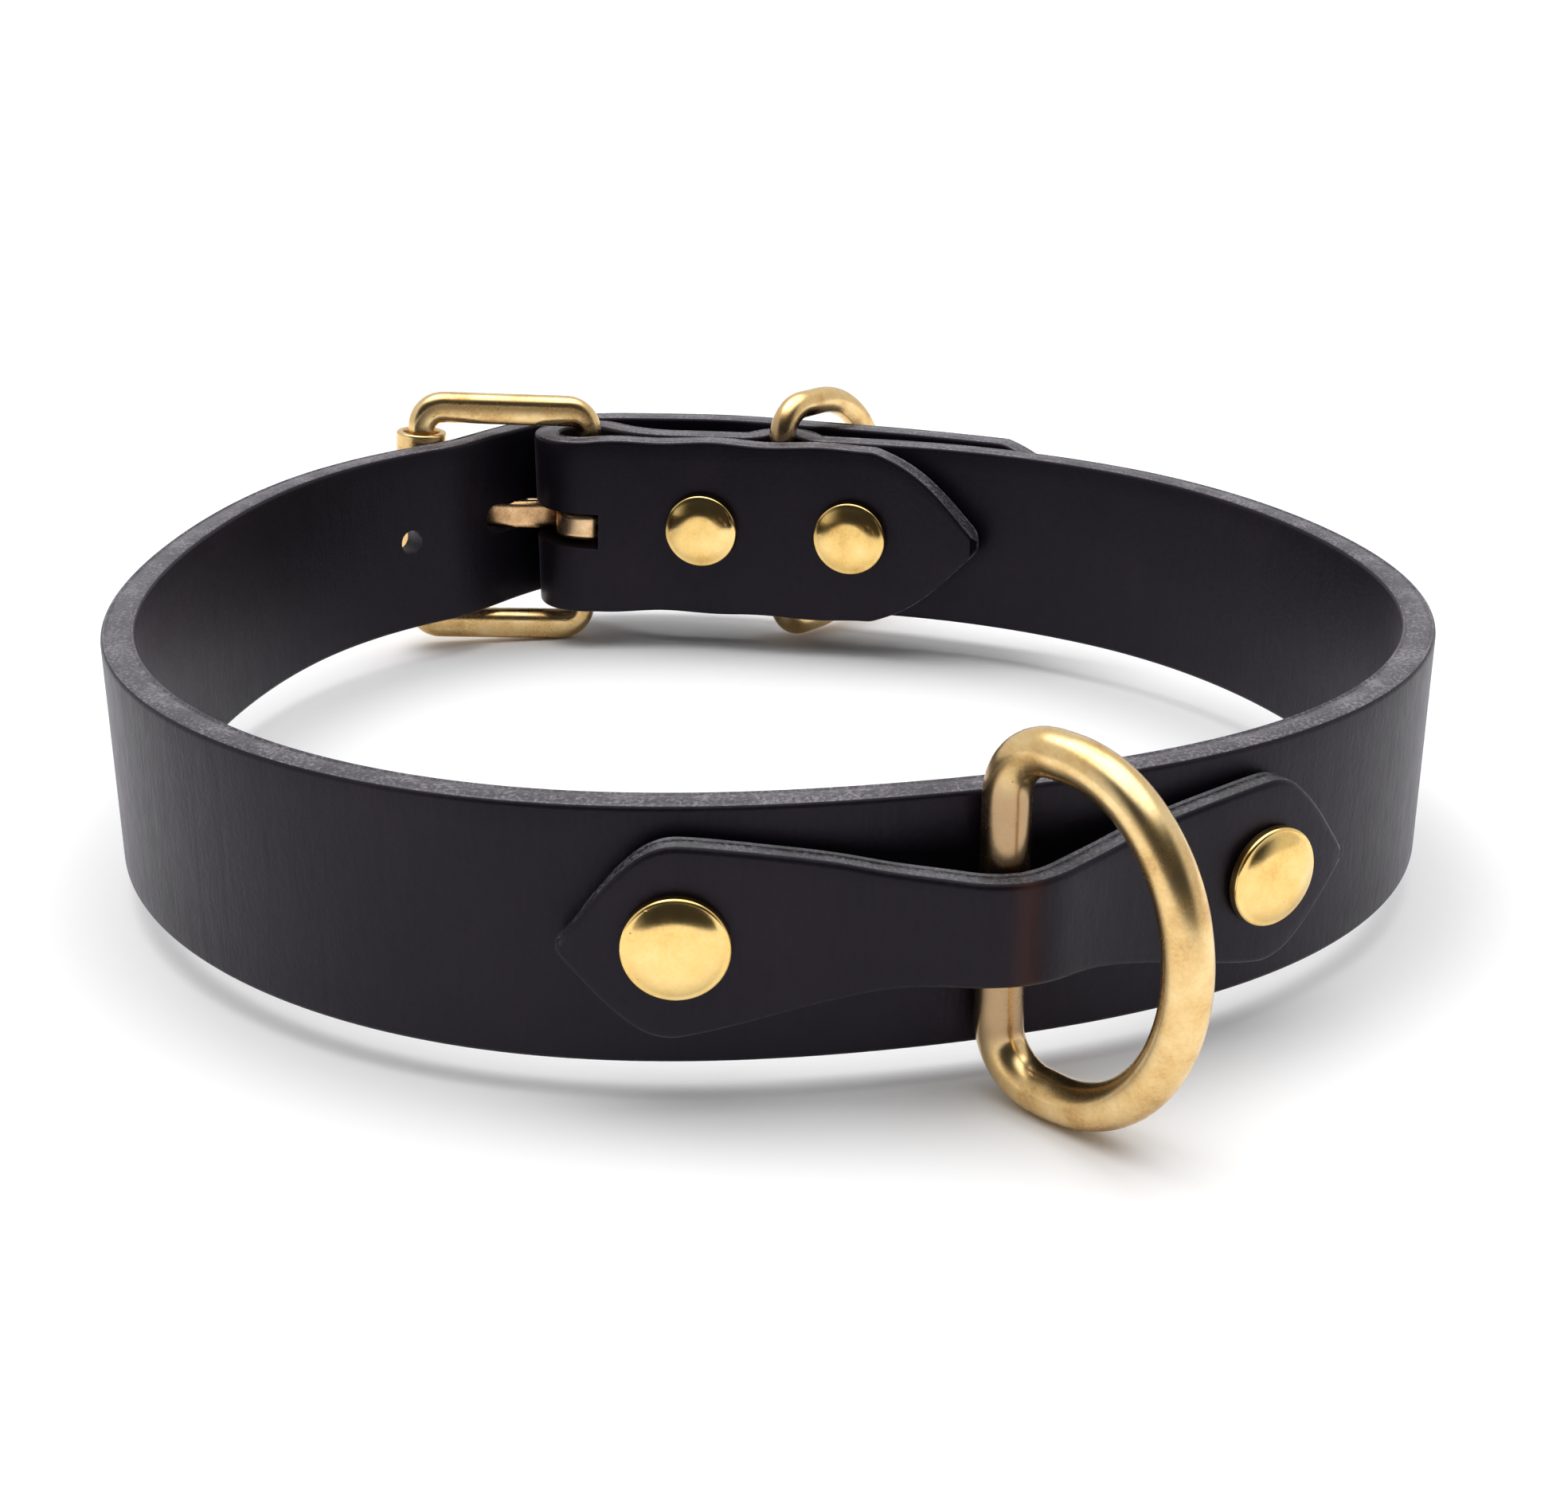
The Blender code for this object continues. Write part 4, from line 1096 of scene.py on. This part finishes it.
def seats(item):
    """How far in and out the leather under a cap reaches, from the loop line at the rivet."""
    point, _, outward = line_at(item["along"])
    cap = item["cap"]
    low, high = 0.0, 0.0
    for away in steps(-cap / 2, cap / 2, cap / 8):
        at = item["along"] + away
        low = min(low, (place(at, item["inner"](at)) - point).dot(outward))
        high = max(high, (place(at, item["outer"](at)) - point).dot(outward))
    return low, high


def cap_profile(radius, seat, height):
    """Half of a cap's outline from its middle to its foot: flat, then a gentle shoulder that
    falls away to a small rounded edge."""
    soft = CAP_EDGE_ROUND
    way = 1.0 if height > seat else -1.0
    flat = radius - CAP_SHOULDER
    shoulder = CAP_SHOULDER - soft
    points = [(flat * i / CAP_FLAT_STEPS, height) for i in range(CAP_FLAT_STEPS + 1)]
    for i in range(1, CAP_SHOULDER_STEPS + 1):
        share = i / CAP_SHOULDER_STEPS
        points.append((flat + shoulder * share, height - way * CAP_FALL * share ** 2))
    edge = height - way * CAP_FALL
    for i in range(1, CAP_EDGE_STEPS + 1):
        turn = pi / 2 * i / CAP_EDGE_STEPS
        points.append((radius - soft + soft * sin(turn), edge - way * soft * (1 - cos(turn))))
    points.append((radius, seat + way * CAP_FOOT))
    points.append((radius - CAP_FOOT, seat))
    return points


def make_rivets(brass):
    for item in RIVETS:
        point, _, outward = line_at(item["along"])
        low, high = seats(item)
        low -= CLEARANCE / 2
        high += CLEARANCE / 2
        reach = RIVET_CAP_HEIGHT + CLEARANCE / 2
        radius = item["cap"] / 2
        upper = cap_profile(radius, high, high + reach)
        lower = cap_profile(radius, low, low - reach)
        profile = upper + [(RIVET_POST / 2, high), (RIVET_POST / 2, low)] + lower[::-1]
        middle = in_space(point, middle_height(point) + item["rise"])
        seat = ON_LINE @ Matrix.Translation(middle) @ facing(outward)
        rivet = new_object(item["node"] + "_brass", lathe(profile, LATHE_TURNS), seat, brass)
        fit(rivet, item["node"], "root")


# Rings


def ring_line(height, depth, corner, arm):
    """The D, from the foot of its bar up: X away from the bar and Z up, evenly spaced."""
    half = height / 2
    points = [Vector((0.0, up)) for up in steps(corner - half, half - corner, RING_STEP)]
    for i in range(1, RING_CORNER_TURNS + 1):
        turn = pi - (pi / 2) * i / RING_CORNER_TURNS
        points.append(Vector((corner * (1 + cos(turn)), half - corner * (1 - sin(turn)))))
    for x in steps(corner, arm, RING_STEP)[1:-1]:
        points.append(Vector((x, half)))
    for i in range(RING_BOW_TURNS + 1):
        turn = pi / 2 - pi * i / RING_BOW_TURNS
        points.append(Vector((arm + (depth - arm) * cos(turn), half * sin(turn))))
    for x in steps(arm, corner, RING_STEP)[1:-1]:
        points.append(Vector((x, -half)))
    for i in range(RING_CORNER_TURNS):
        turn = -pi / 2 - (pi / 2) * i / RING_CORNER_TURNS
        points.append(Vector((corner * (1 + cos(turn)), corner * (1 + sin(turn)) - half)))
    return points


def tube(points, thickness, bar_end, bead):
    """A closed ring of round wire, thicker by a bead where it is brazed at the foot of its bar,
    and heated along the bar."""
    shape = bmesh.new()
    warmth = shape.verts.layers.float.new("warmth")
    count = len(points)
    joint = Vector((0.0, -bar_end))
    loops = []
    for i, point in enumerate(points):
        direction = (points[(i + 1) % count] - points[i - 1]).normalized()
        normal = Vector((direction.y, -direction.x))
        radius = thickness / 2 + bead * exp(-(((point - joint).length / BEAD_SIZE) ** 2))
        past_bar = point.x + max(0.0, abs(point.y) - bar_end)
        heat = 1.0 / (1.0 + exp(past_bar / HEAT_FADE - HEAT_DEPTH))
        loop = []
        for j in range(WIRE_TURNS):
            turn = 2 * pi * j / WIRE_TURNS
            spot = point + normal * radius * cos(turn)
            loop.append(shape.verts.new((spot.x, radius * sin(turn), spot.y)))
            loop[-1][warmth] = heat
        loops.append(loop)
    for i in range(count):
        here, following = loops[i - 1], loops[i]
        for j in range(WIRE_TURNS):
            k = (j + 1) % WIRE_TURNS
            shape.faces.new((here[j], here[k], following[k], following[j]))
    bmesh.ops.recalc_face_normals(shape, faces=shape.faces)
    return shape


def make_rings(brass):
    line = ring_line(FRONT_RING_HEIGHT, FRONT_RING_DEPTH, FRONT_RING_CORNER, FRONT_RING_ARM)
    bar_end = FRONT_RING_HEIGHT / 2 - FRONT_RING_CORNER
    point, _, outward = line_at(FRONT_RING_ALONG)
    seat = Matrix.Translation(in_space(point + outward * FRONT_BAR_OUT, FRONT_RING_HALF))
    turn = Matrix.Rotation(angle_of(outward) + radians(FRONT_RING_SWING), 4, "Z")
    shape = tube(line, FRONT_RING_WIRE, bar_end, FRONT_BEAD)
    leash = new_object("leash_ring_brass", shape, ON_LINE @ seat @ turn, brass)
    fit(leash, "front_ring", "leash_ring")

    line = ring_line(BACK_RING_HEIGHT, BACK_RING_DEPTH, BACK_RING_CORNER, BACK_RING_ARM)
    bar_end = BACK_RING_HEIGHT / 2 - BACK_RING_CORNER
    point, _, outward = line_at(BACK_RING_ALONG)
    plan = point + outward * RING_BAR_OUT
    seat = Matrix.Translation(in_space(plan, middle_height(plan) + BACK_RING_LIFT))
    turn = Matrix.Rotation(angle_of(outward) + radians(BACK_RING_SWING), 4, "Z")
    shape = tube(line, BACK_RING_WIRE, bar_end, BACK_BEAD)
    tag = new_object("tag_ring_brass", shape, ON_LINE @ seat @ turn, brass)
    fit(tag, "back_ring", "tag_ring")


# Buckle


def rounded_rectangle(low_x, high_x, half_height, corner):
    points = []
    centres = (
        (high_x - corner, half_height - corner, 0.0),
        (low_x + corner, half_height - corner, pi / 2),
        (low_x + corner, -half_height + corner, pi),
        (high_x - corner, -half_height + corner, 3 * pi / 2),
    )
    for x, z, start in centres:
        for i in range(FRAME_CORNER_TURNS + 1):
            turn = start + (pi / 2) * i / FRAME_CORNER_TURNS
            points.append((x + corner * cos(turn), z + corner * sin(turn)))
    return points


def make_frame(brass):
    """The cast frame, with its edges tumbled round."""
    outer = rounded_rectangle(
        -BUCKLE_LENGTH - FRONT_BAR / 2, HEEL_BAR / 2, BUCKLE_HEIGHT / 2, BUCKLE_CORNER
    )
    window = rounded_rectangle(
        -BUCKLE_LENGTH + FRONT_BAR / 2, -HEEL_BAR / 2, BUCKLE_CLEAR_HEIGHT / 2, WINDOW_CORNER
    )
    shape = bmesh.new()
    rims = [[shape.verts.new((x, 0.0, z)) for x, z in outline] for outline in (outer, window)]
    for i in range(len(outer)):
        shape.faces.new((rims[0][i - 1], rims[0][i], rims[1][i], rims[1][i - 1]))
    buckle = new_object("buckle_frame_brass", shape, Matrix.Identity(4), brass)
    wall = buckle.modifiers.new("wall", "SOLIDIFY")
    wall.thickness = BUCKLE_DEPTH
    wall.offset = 0.0
    tumbled = buckle.modifiers.new("tumbled_edges", "BEVEL")
    tumbled.use_clamp_overlap = False
    tumbled.width = BUCKLE_BEVEL
    tumbled.segments = 6
    tumbled.limit_method = "ANGLE"
    tumbled.angle_limit = radians(FRAME_SHARP_ANGLE)
    apply_modifiers(buckle)
    buckle.data.transform(ON_BUCKLE)
    fit(buckle, "buckle_frame", "root", FRAME_SHARP_ANGLE)


def make_roller(brass):
    """A tube on the front bar, its mouths chamfered."""
    half = BUCKLE_CLEAR_HEIGHT / 2 - ROLLER_END_PLAY
    inner = ROLLER_RADIUS - ROLLER_WALL
    soft = ROLLER_WALL / 3
    upper = [(inner, half - soft), (inner + soft * 0.5, half)]
    for i in range(ROLLER_EDGE_STEPS + 1):
        turn = pi / 2 * i / ROLLER_EDGE_STEPS
        upper.append((ROLLER_RADIUS - soft + soft * sin(turn), half - soft + soft * cos(turn)))
    lower = [(radius, -height) for radius, height in reversed(upper)]
    profile = upper + lower + upper[:1]
    seat = ON_BUCKLE @ Matrix.Translation((-BUCKLE_LENGTH, 0.0, 0.0))
    roller = new_object("buckle_roller_brass", lathe(profile, LATHE_TURNS), seat, brass)
    fit(roller, "buckle_roller", "root")


def make_prong(brass):
    """The prong looped round the heel bar, then its shank, which narrows to the tip."""
    plans = []
    for i in range(PRONG_LOOP_TURNS + 1):
        turn = pi / 2 + radians(PRONG_WRAP) * (1 - i / PRONG_LOOP_TURNS)
        plans.append(Vector((-cos(turn), sin(turn))) * PRONG_RADIUS)
    for away in steps(0.0, BUCKLE_LENGTH + PRONG_OVERHANG, BEND_STEP)[1:]:
        plans.append(Vector((-away, hermite(SHANK_ROUTE, away))))
    stations = []
    for plan in plans:
        taper = 1.0 - PRONG_TAPER * max(0.0, -plan.x / BUCKLE_LENGTH - PRONG_TAPER_FROM)
        half = PRONG_WIDTH / 2 * taper
        stations.append({"plan": plan, "height": 0.0, "half": half, "thin": 1.0})
    shape = strip(round_tips(stations), PRONG_THICKNESS / 2, PRONG_EDGE)
    for face in shape.faces:
        face.material_index = 0
    prong = new_object("buckle_prong_brass", shape, ON_BUCKLE, brass)
    fit(prong, "buckle_prong", "root")


# Studio


def make_floor():
    shape = bmesh.new()
    bmesh.ops.create_circle(shape, cap_ends=True, segments=96, radius=FLOOR_RADIUS)
    floor = new_object("studio_floor", shape, Matrix.Identity(4), floor_paper())


def make_light():
    """A white tent, a little brighter overhead, with a dark gap on the side that faces the
    front of the collar, and a softbox above."""
    world = bpy.data.worlds.new("studio")
    bpy.context.scene.world = world
    world.use_nodes = True
    tree = world.node_tree
    where = add(tree, "ShaderNodeTexCoord").outputs["Generated"]
    height = add(tree, "ShaderNodeSeparateXYZ", inputs={"Vector": where}).outputs["Z"]
    toward = add(tree, "ShaderNodeVectorMath", {"operation": "DOT_PRODUCT"}, {
        0: where, 1: DARK_SIDE,
    }).outputs["Value"]
    tent = spread(tree, toward, *GAP_EDGE, TENT_LEVEL, GAP_LEVEL, interpolation_type="SMOOTHSTEP")
    above = spread(
        tree, height, *OVERHEAD_EDGE, 0.0, OVERHEAD_LEVEL, interpolation_type="SMOOTHSTEP"
    )
    put(tree, tree.nodes["Background"], {
        "Strength": work_out(tree, "ADD", tent, above),
        "Color": linear("#ffffff"),
    })

    light = bpy.data.lights.new("softbox_above", "AREA")
    light.shape = "DISK"
    light.size = SOFTBOX_SIZE
    light.energy = SOFTBOX_POWER
    lamp = bpy.data.objects.new("softbox_above", light)
    lamp.location = SOFTBOX_PLACE
    lamp.rotation_euler = (-Vector(SOFTBOX_PLACE)).to_track_quat("-Z", "Y").to_euler()
    bpy.context.scene.collection.objects.link(lamp)


def make_camera():
    camera = bpy.data.cameras.new("camera")
    camera.lens = CAMERA_LENS
    camera.sensor_width = 36.0
    camera.clip_start = 0.005
    camera.clip_end = 20.0
    holder = bpy.data.objects.new("camera", camera)
    holder.location = Vector(CAMERA_PLACE) + LINE_TO_FRAME
    holder.rotation_euler = (radians(90.0 - CAMERA_PITCH), 0.0, 0.0)
    bpy.context.scene.collection.objects.link(holder)
    bpy.context.scene.camera = holder


def main():
    leather = waxed_leather()
    rim = burnished_rim("burnished_strap_rim", STRAP_RIM)
    tab_rim = burnished_rim("burnished_tab_rim", TAB_RIM)
    tumbled = aged_brass("tumbled_brass", TUMBLED_BRASS, polish=0.19, pitting=0.25)
    polished = aged_brass("polished_brass", POLISHED_BRASS, polish=0.12, pitting=0.3)
    drawn = aged_brass("drawn_brass", DRAWN_BRASS, polish=0.20, pitting=0.25)
    make_strap(leather, rim)
    make_tab(leather, tab_rim)
    make_rivets(polished)
    make_rings(tumbled)
    make_frame(tumbled)
    make_roller(tumbled)
    make_prong(drawn)
    make_floor()
    make_light()
    make_camera()
    bpy.context.scene.view_settings.view_transform = "Standard"


main()
